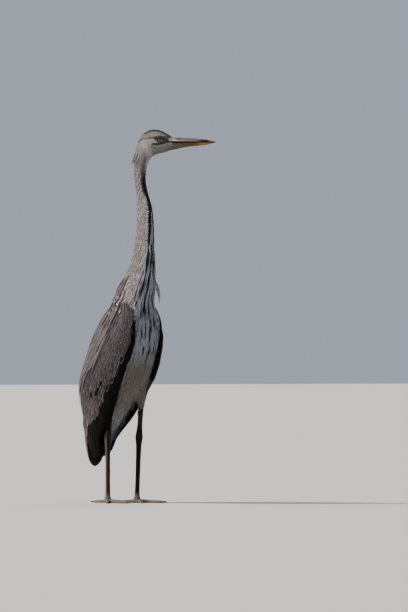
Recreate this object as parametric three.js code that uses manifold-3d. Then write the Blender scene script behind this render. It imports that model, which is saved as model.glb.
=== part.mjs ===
// A young grey heron standing tall, at life size, with its head turned to its left.
// Millimetres. +Z is up, +X is the way the breast faces and +Y is the bird's left.
// The soles stand on z = 0, and the origin is the middle of the bird's bounding box on the floor.
import * as THREE from "three";
import { mergeVertices } from "three/addons/utils/BufferGeometryUtils.js";
import Module from "manifold-3d";

const wasm = await Module();
wasm.setup();

// ---- driving dimensions ----
const gap = 0.3; // clearance between pieces that touch
const headTurn = 48; // degrees that the head is turned to the bird's left
const neckAxisX = 63.5; // where the top of the neck stands, ahead of the feet
const boxCentre = { x: 34, y: 27.3 }; // middle of the bounding box before it is moved to the origin
const eyeRadius = 8.2;
const eyeInset = 14.2; // from the head's middle plane to the eyeball's centre
const eyeReach = 50; // ahead of the neck's axis
const eyeHeight = 907;
const gapeHeight = 901; // where the two halves of the bill meet

// Sections of the head, neck, trunk and tail, from the bill's base to the tail's tip. Each section is an oval.
// x is its centre ahead of the feet, reach its distance from the neck's axis along the head's heading, z its
// height. turn is its heading and tilt how far its throat side points down, both in degrees. depth and width
// are its half sizes from throat to nape and from side to side, and square is the power of its outline.
const bodySections = [
  { at: "bill base", x: neckAxisX, reach: 82.5, z: 897.8, turn: 48, tilt: 90, depth: 16.6, width: 10.4, square: 2 },
  { at: "lores", x: neckAxisX, reach: 69, z: 900.3, turn: 48, tilt: 86, depth: 23.5, width: 13.6, square: 2 },
  { at: "eyes", x: neckAxisX, reach: 52, z: 902.8, turn: 48, tilt: 78, depth: 30.6, width: 19.4, square: 2.15 },
  { at: "crown", x: neckAxisX, reach: 35, z: 901, turn: 48, tilt: 70, depth: 32.6, width: 20.4, square: 2.1 },
  { at: "occiput", x: neckAxisX, reach: 21, z: 893.5, turn: 48, tilt: 62, depth: 31, width: 19, square: 2 },
  { at: "nape", x: neckAxisX, reach: 11, z: 880, turn: 47, tilt: 52, depth: 27, width: 16.6, square: 2 },
  { at: "throat", x: neckAxisX, reach: 4.5, z: 859.5, turn: 45, tilt: 35, depth: 21.2, width: 14.4, square: 2 },
  { at: "neck top", x: neckAxisX, reach: 1, z: 835.2, turn: 42, tilt: 20, depth: 17.6, width: 12.8, square: 2 },
  { at: "neck", x: 64, reach: 0, z: 808.6, turn: 36, tilt: 6, depth: 15.8, width: 12.2, square: 2 },
  { at: "kink", x: 69.5, reach: 0, z: 781.6, turn: 28, tilt: 0, depth: 16, width: 12, square: 2 },
  { at: "kink", x: 77, reach: 0, z: 757, turn: 20, tilt: 0, depth: 18.6, width: 13.2, square: 2 },
  { at: "neck", x: 82, reach: 0, z: 730, turn: 12, tilt: 0, depth: 23, width: 16, square: 2 },
  { at: "neck", x: 83.5, reach: 0, z: 682, turn: 6, tilt: 0, depth: 27, width: 17.8, square: 2 },
  { at: "neck", x: 80, reach: 0, z: 632, turn: 2, tilt: 0, depth: 31.5, width: 20, square: 2 },
  { at: "neck base", x: 71, reach: 0, z: 585, turn: 0, tilt: 0, depth: 42, width: 25, square: 2 },
  { at: "neck base", x: 54, reach: 0, z: 545, turn: 0, tilt: 0, depth: 55.5, width: 35, square: 2 },
  { at: "shoulders", x: 38, reach: 0, z: 502, turn: 0, tilt: 0, depth: 61, width: 46, square: 2 },
  { at: "breast", x: 29, reach: 0, z: 457, turn: 0, tilt: 0, depth: 76, width: 57, square: 2.1 },
  { at: "breast", x: 16, reach: 0, z: 407, turn: 0, tilt: 0, depth: 89, width: 67, square: 2.2 },
  { at: "belly", x: -3, reach: 0, z: 357, turn: 0, tilt: 0, depth: 94, width: 70, square: 2.2 },
  { at: "belly", x: -24, reach: 0, z: 307, turn: 0, tilt: 0, depth: 89, width: 68, square: 2.2 },
  { at: "flanks", x: -46, reach: 0, z: 257, turn: 0, tilt: 0, depth: 70, width: 56, square: 2.1 },
  { at: "vent", x: -66, reach: 0, z: 207, turn: 0, tilt: 0, depth: 50, width: 40, square: 2 },
  { at: "tail base", x: -80, reach: 0, z: 168, turn: 0, tilt: 0, depth: 30, width: 26, square: 2 },
  { at: "tail", x: -82, reach: 0, z: 141, turn: 0, tilt: 0, depth: 13, width: 21, square: 2.4 },
  { at: "tail tip", x: -81, reach: 0, z: 117, turn: 0, tilt: 0, depth: 4, width: 15, square: 2.6 },
];

// Which run of sections each part takes, by the index of its first and last section, and its rings and sides.
const bodyParts = [
  { name: "head", from: 0, to: 6.2, rings: 16, sides: 22, colour: "#b3a9a2" },
  { name: "neck_upper", from: 6.2, to: 10, rings: 9, sides: 18, colour: "#a59c96" },
  { name: "neck_middle", from: 10, to: 13, rings: 7, sides: 18, colour: "#a39a93" },
  { name: "neck_lower", from: 13, to: 15.6, rings: 7, sides: 20, colour: "#a0968f" },
  { name: "trunk", from: 15.6, to: 23, rings: 14, sides: 24, colour: "#b9b7b4" },
  { name: "tail", from: 23, to: 25, rings: 6, sides: 18, colour: "#5a5b62" },
];

// Level sections of a folded wing, from the shoulder down to the tips. The wing is a shell on an oval about x:
// front and back are the angles of its edges from straight ahead, and thick is its thickness in the middle.
const wingSections = [
  { z: 503, x: 37, depth: 60, width: 47, front: 72, back: 104, thick: 4.2 },
  { z: 486, x: 35, depth: 68, width: 55, front: 52, back: 124, thick: 9 },
  { z: 457, x: 30, depth: 81, width: 65, front: 43, back: 138, thick: 12 },
  { z: 407, x: 18, depth: 96, width: 77, front: 38, back: 152, thick: 14 },
  { z: 357, x: 0, depth: 101, width: 81, front: 37, back: 162, thick: 14 },
  { z: 307, x: -21, depth: 97, width: 80, front: 38, back: 168, thick: 14 },
  { z: 257, x: -40.5, depth: 83, width: 67, front: 36, back: 171, thick: 12 },
  { z: 207, x: -58.5, depth: 64, width: 49.5, front: 34, back: 172, thick: 10 },
  { z: 157, x: -78, depth: 43, width: 36, front: 34, back: 170, thick: 8 },
  { z: 125, x: -84, depth: 37, width: 28, front: 30, back: 166, thick: 8 },
  { z: 100, x: -84, depth: 30, width: 24, front: 42, back: 156, thick: 5 },
  { z: 89, x: -84, depth: 12, width: 18, front: 80, back: 124, thick: 2.5 },
];
const wingEdgeThickness = 4;
const wingSquare = 2.3;
const wingFoldZ = 207; // the left wing's tips are drawn up from here down
const wings = [
  { name: "wing_right", side: -1, tipScale: 1, droop: 17 },
  { name: "wing_left", side: 1, tipScale: 0.75, droop: 1 },
];
const droopHeights = { top: 400, full: 250, fading: 165, end: 100 }; // where a wing's front edge stands off

// Sections of the bill, from its base to its tip.
const billSections = [
  { reach: 82.8, top: 913.6, bottom: 881.8, width: 10.2 },
  { reach: 106, top: 912.6, bottom: 886.2, width: 8.4 },
  { reach: 134, top: 911.2, bottom: 891, width: 6.4 },
  { reach: 156, top: 909.2, bottom: 892.6, width: 4.9 },
  { reach: 174, top: 905.6, bottom: 895.8, width: 3.3 },
  { reach: 190, top: 901.4, bottom: 900.2, width: 0.8 },
];

// Joints of each leg: where it meets the floor, the ankle, the end of the feathers and the knee under them.
const legs = [
  {
    name: "left", side: 1, heading: 4,
    foot: [10, 38], ankle: [20, 36, 166], featherEnd: [28, 35, 236], knee: [34, 36, 330],
  },
  {
    name: "right", side: -1, heading: -3,
    foot: [-20, -33], ankle: [-25.5, -28.5, 169], featherEnd: [-12, -29, 240], knee: [13, -34, 326],
  },
];
const ankleRadius = 11.6;
const tarsusRadius = 6.6;
const tibiaRadius = 7;
const thighEndRadius = 10.2;
const thighTopRadius = 25;
const footTop = 16; // where the foot's hub ends and the tarsus begins
const hubRadius = 9;

// Toes, by the angle of each from the foot's heading, away from the other foot.
const toes = [
  { name: "middle", angle: 2, length: 82, radius: 4.5, claw: 13 },
  { name: "outer", angle: 38, length: 66, radius: 4.2, claw: 11 },
  { name: "inner", angle: -34, length: 62, radius: 4.3, claw: 12 },
  { name: "hind", angle: 176, length: 50, radius: 4.2, claw: 17 },
];
const toeEndRadius = 3;
const toeSole = 0.45; // depth of the flat that is cut along each toe's underside

const plume = { root: [97, 16, 556], middle: [107, 21.5, 536], tip: [112.5, 25.5, 505], width: 3.4, thick: 1.3 };

// ---- small helpers ----
const radians = THREE.MathUtils.degToRad;
const at = (x, y, z) => new THREE.Vector3(x, y, z);
const signedPower = (value, power) => Math.sign(value) * Math.abs(value) ** power;

function headingOf(turn) {
  return at(Math.cos(radians(turn)), Math.sin(radians(turn)), 0);
}

function leftOf(turn) {
  return at(-Math.sin(radians(turn)), Math.cos(radians(turn)), 0);
}

// A smooth run through a table's rows: each named value at a fractional row index.
function smoothRow(rows, index, keys) {
  const values = {};
  for (const key of keys) {
    const curve = new THREE.SplineCurve(rows.map((row, i) => new THREE.Vector2(i, row[key])));
    values[key] = curve.getPoint(index / (rows.length - 1)).y;
  }
  return values;
}

// One closed body through rings of points, with flat ends, its faces turned outwards.
function closedLoft(rings) {
  const sides = rings[0].length;
  const points = rings.flat();
  const indices = [];
  for (let r = 0; r + 1 < rings.length; r++) {
    for (let s = 0; s < sides; s++) {
      const a = r * sides + s;
      const b = r * sides + ((s + 1) % sides);
      indices.push(a, b, b + sides, a, b + sides, a + sides);
    }
  }
  for (const end of [0, rings.length - 1]) {
    const middle = points.length;
    points.push(rings[end].reduce((sum, p) => sum.add(p), at(0, 0, 0)).divideScalar(sides));
    for (let s = 0; s < sides; s++) {
      const a = end * sides + s;
      const b = end * sides + ((s + 1) % sides);
      indices.push(...(end === 0 ? [b, a, middle] : [a, b, middle]));
    }
  }
  let volume = 0;
  for (let i = 0; i < indices.length; i += 3) {
    const [a, b, c] = [points[indices[i]], points[indices[i + 1]], points[indices[i + 2]]];
    volume += a.dot(b.clone().cross(c));
  }
  if (volume < 0) indices.reverse();
  const geometry = new THREE.BufferGeometry().setFromPoints(points);
  geometry.setIndex(indices);
  return geometry;
}

function solidFrom(geometry) {
  const bare = geometry.clone();
  bare.deleteAttribute("normal");
  bare.deleteAttribute("uv");
  const merged = mergeVertices(bare, 1e-3);
  return new wasm.Manifold(
    new wasm.Mesh({
      numProp: 3,
      vertProperties: merged.attributes.position.array,
      triVerts: new Uint32Array(merged.index.array),
    }),
  );
}

// The largest piece of a solid, as cuts can leave slivers.
function largestOf(solid) {
  return solid.decompose().reduce((a, b) => (b.volume() > a.volume() ? b : a));
}

function geometryFrom(solid) {
  const mesh = largestOf(solid).getMesh();
  const geometry = new THREE.BufferGeometry();
  geometry.setAttribute("position", new THREE.BufferAttribute(mesh.vertProperties, 3));
  geometry.setIndex(new THREE.BufferAttribute(mesh.triVerts, 1));
  geometry.computeVertexNormals();
  return geometry;
}

function boxSolid(size, centre) {
  const box = new THREE.BoxGeometry(...size);
  box.translate(...centre);
  return solidFrom(box);
}

const bird = new THREE.Group();

function addPart(name, solid, colour, roughness = 0.85) {
  const material = new THREE.MeshStandardMaterial({ color: colour, roughness, metalness: 0 });
  const mesh = new THREE.Mesh(geometryFrom(solid), material);
  mesh.name = name;
  bird.add(mesh);
}

// ---- head, neck, trunk and tail ----
const sectionKeys = ["x", "reach", "z", "turn", "tilt", "depth", "width", "square"];

// The ring of points of the body at a fractional section index, grown outwards by an offset.
function bodyRing(index, sides, offset) {
  const row = smoothRow(bodySections, index, sectionKeys);
  const forward = headingOf(row.turn);
  const centre = headingOf(headTurn).multiplyScalar(row.reach).add(at(row.x, 0, row.z));
  const tilt = radians(row.tilt);
  const throatward = forward.clone().multiplyScalar(Math.cos(tilt)).add(at(0, 0, -Math.sin(tilt)));
  const left = leftOf(row.turn);
  const ring = [];
  for (let s = 0; s < sides; s++) {
    const angle = (2 * Math.PI * s) / sides;
    const down = (row.depth + offset) * signedPower(Math.cos(angle), 2 / row.square);
    const across = (row.width + offset) * signedPower(Math.sin(angle), 2 / row.square);
    ring.push(centre.clone().addScaledVector(throatward, down).addScaledVector(left, across));
  }
  return ring;
}

// A run of the body as a solid. Its end face is drawn back so that the next run meets it with a gap.
function bodySolid({ from, to, rings, sides }, offset = 0) {
  const spacing = bodySections[Math.ceil(to) - 1].z - bodySections[Math.ceil(to)].z;
  const drawBack = to < bodySections.length - 1 ? gap / spacing : 0;
  const loft = [];
  for (let r = 0; r < rings; r++) {
    loft.push(bodyRing(from + ((to - drawBack - from) * r) / (rings - 1), sides, offset));
  }
  return solidFrom(closedLoft(loft));
}

const body = Object.fromEntries(bodyParts.map((part) => [part.name, bodySolid(part)]));

// ---- eyes ----
function eyeSolid(side, radius) {
  const ball = new THREE.SphereGeometry(radius, 14, 9);
  const centre = headingOf(headTurn).multiplyScalar(eyeReach).add(at(neckAxisX, 0, eyeHeight));
  centre.addScaledVector(leftOf(headTurn), side * eyeInset);
  ball.translate(centre.x, centre.y, centre.z);
  return solidFrom(ball);
}

// ---- wings ----
const wingKeys = ["z", "x", "depth", "width", "front", "back", "thick"];
const wingAcross = 12; // points across each face of a wing
const wingRings = 17;

// A closed ring round a wing's shell at one level: out along its outer face and back along its inner one.
function wingRing(index, { side, tipScale, droop }, grow) {
  const row = smoothRow(wingSections, index, wingKeys);
  const { smoothstep } = THREE.MathUtils;
  const loosened = 1 - smoothstep(row.z, droopHeights.full, droopHeights.top);
  const standOff = droop * loosened * smoothstep(row.z, droopHeights.end, droopHeights.fading);
  const z = row.z < wingFoldZ ? wingFoldZ - (wingFoldZ - row.z) * tipScale : row.z;
  const outer = [];
  const inner = [];
  for (let i = 0; i < wingAcross; i++) {
    const share = i / (wingAcross - 1);
    const angle = radians(THREE.MathUtils.lerp(row.front - grow, row.back + grow, share));
    const ahead = row.depth * signedPower(Math.cos(angle), 2 / wingSquare);
    const aside = row.width * signedPower(Math.sin(angle), 2 / wingSquare);
    const radius = Math.hypot(ahead, aside);
    const edge = Math.min(wingEdgeThickness, row.thick);
    const thick = edge + (row.thick - edge) * Math.sin(Math.PI * share) ** 0.7;
    const out = (radius + grow) / radius;
    const within = (radius - thick - grow) / radius;
    const outward = standOff * (1 - share);
    outer.push(at(row.x + ahead * out, side * (aside * out + outward), z));
    inner.push(at(row.x + ahead * within, side * (aside * within + outward), z));
  }
  return [...outer, ...inner.reverse()];
}

function wingSolid(wing, grow = 0) {
  const loft = [];
  for (let r = 0; r < wingRings; r++) {
    loft.push(wingRing(((wingSections.length - 1) * r) / (wingRings - 1), wing, grow));
  }
  return solidFrom(closedLoft(loft));
}

// ---- limbs: tapered tubes of oval rings along a smooth path ----
function limbSolid(points, radii, sides, rings, flatten = 1) {
  const path = new THREE.CatmullRomCurve3(points.map((p) => at(...p)));
  const radiusCurve = new THREE.SplineCurve(radii.map((r, i) => new THREE.Vector2(i, r)));
  const loft = [];
  for (let r = 0; r < rings; r++) {
    const share = r / (rings - 1);
    const centre = path.getPoint(share);
    const along = path.getTangent(share);
    const guide = Math.abs(along.z) > 0.8 ? at(1, 0, 0) : at(0, 0, 1);
    const across = new THREE.Vector3().crossVectors(along, guide).normalize();
    const up = new THREE.Vector3().crossVectors(across, along).normalize();
    const radius = radiusCurve.getPoint(share).y;
    const ring = [];
    for (let s = 0; s < sides; s++) {
      const angle = (2 * Math.PI * (s + 0.5)) / sides;
      const outward = up.clone().multiplyScalar(Math.cos(angle));
      outward.addScaledVector(across, flatten * Math.sin(angle));
      ring.push(centre.clone().addScaledVector(outward, radius));
    }
    loft.push(ring);
  }
  return solidFrom(closedLoft(loft));
}

const belowFloor = boxSolid([600, 600, 100], [0, 0, -50]);

// ---- bill ----
function billSolid(half) {
  const rings = 12;
  const loft = [];
  const arcPoints = 9;
  const heading = headingOf(headTurn);
  const left = leftOf(headTurn);
  for (let r = 0; r < rings; r++) {
    const row = smoothRow(billSections, ((billSections.length - 1) * r) / (rings - 1), [
      "reach", "top", "bottom", "width",
    ]);
    const lift = half === "upper" ? row.top - gapeHeight : row.bottom - gapeHeight;
    const start = (half === "upper" ? gap : -gap) / 2;
    const height = Math.sign(lift) * Math.max(Math.abs(lift), 0.6);
    const power = half === "upper" ? 1.15 : 1.35;
    const ring = [];
    for (let i = 0; i < arcPoints; i++) {
      const angle = (Math.PI * i) / (arcPoints - 1);
      const centre = heading.clone().multiplyScalar(row.reach).add(at(neckAxisX, 0, gapeHeight + start));
      centre.addScaledVector(left, row.width * signedPower(Math.cos(angle), power));
      centre.z += height * Math.sin(angle);
      ring.push(centre);
    }
    loft.push(ring);
  }
  return solidFrom(closedLoft(loft));
}

// ---- legs and feet ----
const between = (p, q, t) => p.map((v, i) => v + (q[i] - v) * t);

// The bare tibia, from the ankle up to where the feathers end.
function tibiaSolid({ ankle, featherEnd }, grow = 0) {
  return limbSolid(
    [-0.06, 0.22, 0.6, 0.985].map((t) => between(ankle, featherEnd, t)),
    [ankleRadius, tibiaRadius + 0.9, tibiaRadius, tibiaRadius + 0.8].map((radius) => radius + grow),
    10, 6, 0.86,
  ).subtract(boxSolid([200, 200, 100], [0, 0, ankle[2] + gap / 2 - 50]));
}

// The feathered thigh, from the end of the bare tibia up into the trunk. It is about 100 long, so a growth
// moves its ends out by that share of its length.
function thighSolid({ featherEnd, knee }, grow = 0) {
  return limbSolid(
    [-grow / 100, 0.3, 0.65, 1 + grow / 100].map((t) => between(featherEnd, knee, t)),
    [thighEndRadius, thighEndRadius + 5.5, thighTopRadius * 0.78, thighTopRadius].map((r) => r + grow),
    16, 7, 0.8,
  );
}

function legSolids(leg) {
  const { name, side, heading, foot, ankle } = leg;
  const footJoint = [foot[0], foot[1], footTop - 2];
  const solids = {};
  const tarsus = limbSolid(
    [0, 0.12, 0.5, 0.86, 1.03].map((t) => between(footJoint, ankle, t)),
    [tarsusRadius + 1.2, tarsusRadius, tarsusRadius, tarsusRadius + 1.2, ankleRadius],
    10, 9, 0.86,
  ).subtract(boxSolid([200, 200, 100], [0, 0, ankle[2] - gap / 2 + 50]));
  solids[`tibia_${name}`] = tibiaSolid(leg);
  const hub = (grow) =>
    limbSolid(
      [[foot[0], foot[1], footTop + grow], [foot[0], foot[1], footTop * 0.55], [foot[0], foot[1], -2]],
      [tarsusRadius + 1.2 + grow, hubRadius + grow, hubRadius - 1 + grow],
      12, 5,
    ).subtract(belowFloor);
  solids[`foot_${name}`] = hub(0);
  const cutters = [hub(gap)];
  solids[`tarsus_${name}`] = tarsus.subtract(cutters[0]);
  for (const toe of toes) {
    const forward = headingOf(heading + side * toe.angle);
    const along = (distance, z) => [foot[0] + forward.x * distance, foot[1] + forward.y * distance, z];
    const { length, radius, claw } = toe;
    const toeSolid = (grow) =>
      limbSolid(
        [
          along(2, radius + 3), along(14, radius + 0.6), along(length * 0.5, radius - toeSole),
          along(length * 0.8, radius - 0.4 - toeSole), along(length, toeEndRadius - toeSole),
        ],
        [radius + 0.8, radius, radius - 0.2, radius - 0.6, toeEndRadius].map((r) => r + grow),
        8, 6,
      ).subtract(belowFloor);
    const cutToe = cutters.reduce((solid, cutter) => solid.subtract(cutter), toeSolid(0));
    solids[`toe_${name}_${toe.name}`] = cutToe;
    cutters.push(toeSolid(gap));
    solids[`claw_${name}_${toe.name}`] = limbSolid(
      [
        along(length + 2 * gap, toeEndRadius - 0.1), along(length + claw * 0.45, toeEndRadius + 0.4),
        along(length + claw * 0.8, 2.1), along(length + claw, 0.7),
      ],
      [2.3, 2, 1.2, 0.4],
      6, 5,
    );
  }
  return solids;
}

// ---- assembly: wings first, then what they cover is cut back from them ----
const wingCuts = [];
for (const wing of wings) {
  addPart(wing.name, wingSolid(wing), "#6f6a6b");
  wingCuts.push(wingSolid(wing, gap));
}
for (const name of ["trunk", "tail"]) {
  for (const cut of wingCuts) body[name] = body[name].subtract(cut);
}
for (const side of [-1, 1]) {
  addPart(side > 0 ? "eye_left" : "eye_right", eyeSolid(side, eyeRadius), "#b8a337", 0.15);
  body.head = body.head.subtract(eyeSolid(side, eyeRadius + gap));
}
for (const leg of legs) body.trunk = body.trunk.subtract(tibiaSolid(leg, gap)).subtract(thighSolid(leg, gap));
for (const part of bodyParts) addPart(part.name, body[part.name], part.colour);
addPart("bill_upper", billSolid("upper"), "#8a6a3c", 0.35);
addPart("bill_lower", billSolid("lower"), "#b07d2c", 0.35);
for (const leg of legs) {
  const thigh = wingCuts.reduce((solid, cut) => solid.subtract(cut), thighSolid(leg));
  addPart(`thigh_${leg.name}`, thigh, "#a7a39c");
  for (const [name, solid] of Object.entries(legSolids(leg))) {
    addPart(name, solid, name.startsWith("claw") ? "#3b332c" : "#6e5a3e", 0.5);
  }
}
let plumeBlade = limbSolid(
  [plume.root, plume.middle, plume.tip], [plume.width * 0.7, plume.width, 0.6], 6, 7, plume.thick / plume.width,
);
for (const part of bodyParts) plumeBlade = plumeBlade.subtract(bodySolid(part, gap));
addPart("neck_plume", plumeBlade, "#b9b6b2");

bird.position.set(-boxCentre.x, -boxCentre.y, 0);

export default bird;
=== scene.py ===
import math

import bmesh
import bpy
import numpy as np
from mathutils import Matrix, Vector
from mathutils.bvhtree import BVHTree
from mathutils.kdtree import KDTree


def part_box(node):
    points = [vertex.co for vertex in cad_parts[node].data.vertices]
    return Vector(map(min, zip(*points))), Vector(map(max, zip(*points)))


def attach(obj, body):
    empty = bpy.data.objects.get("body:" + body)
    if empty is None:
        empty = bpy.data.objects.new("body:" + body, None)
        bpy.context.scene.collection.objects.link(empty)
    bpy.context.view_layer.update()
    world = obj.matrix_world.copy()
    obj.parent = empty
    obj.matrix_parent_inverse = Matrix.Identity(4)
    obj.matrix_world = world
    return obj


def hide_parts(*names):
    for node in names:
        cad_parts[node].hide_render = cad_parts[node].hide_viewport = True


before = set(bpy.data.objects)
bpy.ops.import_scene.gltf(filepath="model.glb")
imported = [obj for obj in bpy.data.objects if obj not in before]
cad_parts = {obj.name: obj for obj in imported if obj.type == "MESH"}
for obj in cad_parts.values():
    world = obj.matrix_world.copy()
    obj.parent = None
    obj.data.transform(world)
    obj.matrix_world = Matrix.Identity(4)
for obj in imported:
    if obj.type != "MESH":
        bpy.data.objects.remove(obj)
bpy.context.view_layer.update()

mm = 0.001
sides = ("left", "right")


# numbers

def colour(code):
    parts = np.array([int(code[i:i + 2], 16) for i in (0, 2, 4)]) / 255.0
    return np.where(parts <= 0.04045, parts / 12.92, ((parts + 0.055) / 1.055) ** 2.4)


def unit(vectors):
    return vectors / np.maximum(np.linalg.norm(vectors, axis=-1, keepdims=True), 1e-9)


def between(values, start, end):  # 0 at the start, 1 at the end, eased; the end may be the lower of the two
    t = np.clip((np.asarray(values, float) - start) / (end - start), 0, 1)
    return t * t * (3 - 2 * t)


def band(values, rise, full, fade, end):
    return between(values, rise, full) * between(values, end, fade)


def closeTo(values, middle, full, end):
    return between(np.abs(values - middle), end, full)


def spot(x, y, middleX, middleY, wide, tall):
    return np.exp(-((x - middleX) / wide) ** 2 - ((y - middleY) / tall) ** 2)


def smoothRows(rows, amounts):  # a smooth curve through a table's rows
    rows = np.asarray(rows, float)
    amounts = np.clip(amounts, 0, len(rows) - 1)
    first = np.minimum(amounts.astype(int), len(rows) - 2)
    t = (amounts - first)[:, None]
    before, start, end, after = (rows[np.clip(first + k, 0, len(rows) - 1)] for k in (-1, 0, 1, 2))
    return 0.5 * (2 * start + (end - before) * t + (2 * before - 5 * start + 4 * end - after) * t ** 2
                  + (3 * start - before - 3 * end + after) * t ** 3)


def columnsOf(rows):
    return np.array(rows, float).T


def boxOf(node):
    return np.array([list(end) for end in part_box(node)])


def middleOf(node):
    return boxOf(node).mean(0)


# objects and meshes

def pickOnly(*pieces):
    bpy.ops.object.select_all(action="DESELECT")
    for piece in pieces:
        piece.select_set(True)
    bpy.context.view_layer.objects.active = pieces[0]


def addModifier(piece, kind, **settings):
    modifier = piece.modifiers.new(kind.title(), kind)
    for key, value in settings.items():
        setattr(modifier, key, value)
    pickOnly(piece)
    bpy.ops.object.modifier_apply(modifier=modifier.name)


def settle(piece):
    pickOnly(piece)
    bpy.ops.object.transform_apply(location=True, rotation=True, scale=True)


def putInScene(name, data):
    thing = bpy.data.objects.new(name, data)
    bpy.context.scene.collection.objects.link(thing)
    return thing


def readAll(items, key, width=1, kind=np.int32):
    values = np.empty(len(items) * width, kind)
    items.foreach_get(key, values)
    return values.reshape(-1, width) if width > 1 else values


def pointsOf(mesh):
    return readAll(mesh.vertices, "co", 3, np.float32).astype(float)


def normalsOf(mesh):
    return readAll(mesh.vertex_normals, "vector", 3, np.float32).astype(float)


def edgesOf(mesh):
    return readAll(mesh.edges, "vertices", 2)


def trianglesOf(mesh):
    mesh.calc_loop_triangles()
    return readAll(mesh.loop_triangles, "vertices", 3)


def setPoints(mesh, places):
    mesh.vertices.foreach_set("co", places.ravel().astype(np.float32))


def paintPoints(mesh, tint):  # the colours that the finishes read
    shade = mesh.color_attributes.new("plume", "FLOAT_COLOR", "POINT")
    shade.data.foreach_set("color", np.insert(tint, 3, 1, axis=1).ravel().astype(np.float32))


# nodes of the finishes

def newPaint(name):
    paint = bpy.data.materials.new(name)
    paint.use_nodes = True
    return paint, paint.node_tree, paint.node_tree.nodes["Principled BSDF"]


def feed(tree, node, inputs):  # a value from another node is linked, any other is set
    for key, value in inputs.items():
        if isinstance(value, bpy.types.NodeSocket):
            tree.links.new(value, node.inputs[key])
        else:
            node.inputs[key].default_value = value


def addNode(tree, kind, inputs, **settings):
    node = tree.nodes.new("ShaderNode" + kind)
    for key, value in settings.items():
        setattr(node, key, value)
    feed(tree, node, inputs)
    return node.outputs


def mathNode(tree, operation, *values):
    return addNode(tree, "Math", dict(enumerate(values)), operation=operation)[0]


def ramp(tree, source, stops):
    node = tree.nodes.new("ShaderNodeValToRGB")
    while len(node.color_ramp.elements) < len(stops):
        node.color_ramp.elements.new(0.5)
    for element, (place, tone) in zip(node.color_ramp.elements, stops):
        element.position = place
        element.color = (*(colour(tone) if isinstance(tone, str) else (tone,) * 3), 1)
    tree.links.new(source, node.inputs["Fac"])
    return node.outputs["Color"]


def multiply(tree, first, second, amount=1.0):
    inputs = {"Factor": amount, 6: first, 7: second}
    return addNode(tree, "Mix", inputs, data_type="RGBA", blend_type="MULTIPLY")[2]


def objectPlace(tree):
    return addNode(tree, "TexCoord", {})["Object"]


def plumeTint(tree):
    return addNode(tree, "Attribute", {}, attribute_name="plume")["Color"]


def noise(tree, vector, scale, detail=2):
    return addNode(tree, "TexNoise", {"Vector": vector, "Scale": scale, "Detail": detail})["Fac"]


def bump(tree, source, strength, distance):
    return addNode(tree, "Bump", {"Height": source, "Strength": strength, "Distance": distance})["Normal"]


# camera, floor and light

viewing = {"turn": 48, "away": 15.0, "height": 0.352, "across": 0.1595, "up": 0.4925, "lens": 353.0}
studio = {
    "floorSize": 120, "floor": "e4e2de", "middle": 0.45,
    # from level to overhead
    "surround": [(0.0, "a6adba"), (0.13, "a6adba"), (0.34, "757a82"), (1.0, "757a82")],
    "lamps": [  # name, turn from the camera, height angle, power, softness, tone
        ("keyLamp", -90, 40, 4.7, 8, "fff6ee"),
        ("fillLamp", 40, 24, 0.12, 40, "e2eaff"),
        ("backLamp", 165, 50, 0.7, 30, "ffffff"),
    ],
}


def aimAt(thing, target):
    thing.rotation_euler = (Vector(target) - thing.location).to_track_quat("-Z", "Y").to_euler()


def setStage():
    turn = math.radians(viewing["turn"])
    right = Vector((math.cos(turn), math.sin(turn), 0))
    toward = Vector((math.sin(turn), -math.cos(turn), 0))
    lensData = bpy.data.cameras.new("viewCamera")
    lensData.lens = viewing["lens"]
    lensData.sensor_width = 36
    lensData.clip_end = 200
    camera = putInScene("viewCamera", lensData)
    across = right * viewing["across"]
    camera.location = across + toward * viewing["away"] + Vector((0, 0, viewing["height"]))
    aimAt(camera, across + Vector((0, 0, viewing["up"])))
    bpy.context.scene.camera = camera
    bpy.ops.mesh.primitive_plane_add(size=studio["floorSize"], location=(0, 0, 0))
    floor = bpy.context.object
    floor.name = "studioFloor"
    paint, tree, shader = newPaint("floorPaint")
    feed(tree, shader, {"Base Color": (*colour(studio["floor"]), 1), "Roughness": 0.9})
    floor.data.materials.append(paint)
    world = bpy.data.worlds.new("paleRoom")
    bpy.context.scene.world = world
    world.use_nodes = True
    tree = world.node_tree
    ways = addNode(tree, "SeparateXYZ", {"Vector": addNode(tree, "TexCoord", {})["Generated"]})
    shades = ramp(tree, mathNode(tree, "ABSOLUTE", ways["Z"]), studio["surround"])
    feed(tree, tree.nodes["Background"], {"Color": shades})
    for name, around, rise, power, softness, tint in studio["lamps"]:
        lampData = bpy.data.lights.new(name, "SUN")
        lampData.energy = power
        lampData.angle = math.radians(softness)
        lampData.color = colour(tint)
        lamp = putInScene(name, lampData)
        way = Matrix.Rotation(math.radians(around), 3, "Z") @ toward
        up = math.radians(rise)
        middle = Vector((0, 0, studio["middle"]))
        lamp.location = way * 3 * math.cos(up) + middle + Vector((0, 0, 3 * math.sin(up)))
        aimAt(lamp, middle)


setStage()
print("stage set")

# the line of the body: where the head, neck, trunk and tail run, in mm from the middle of the trunk

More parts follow.
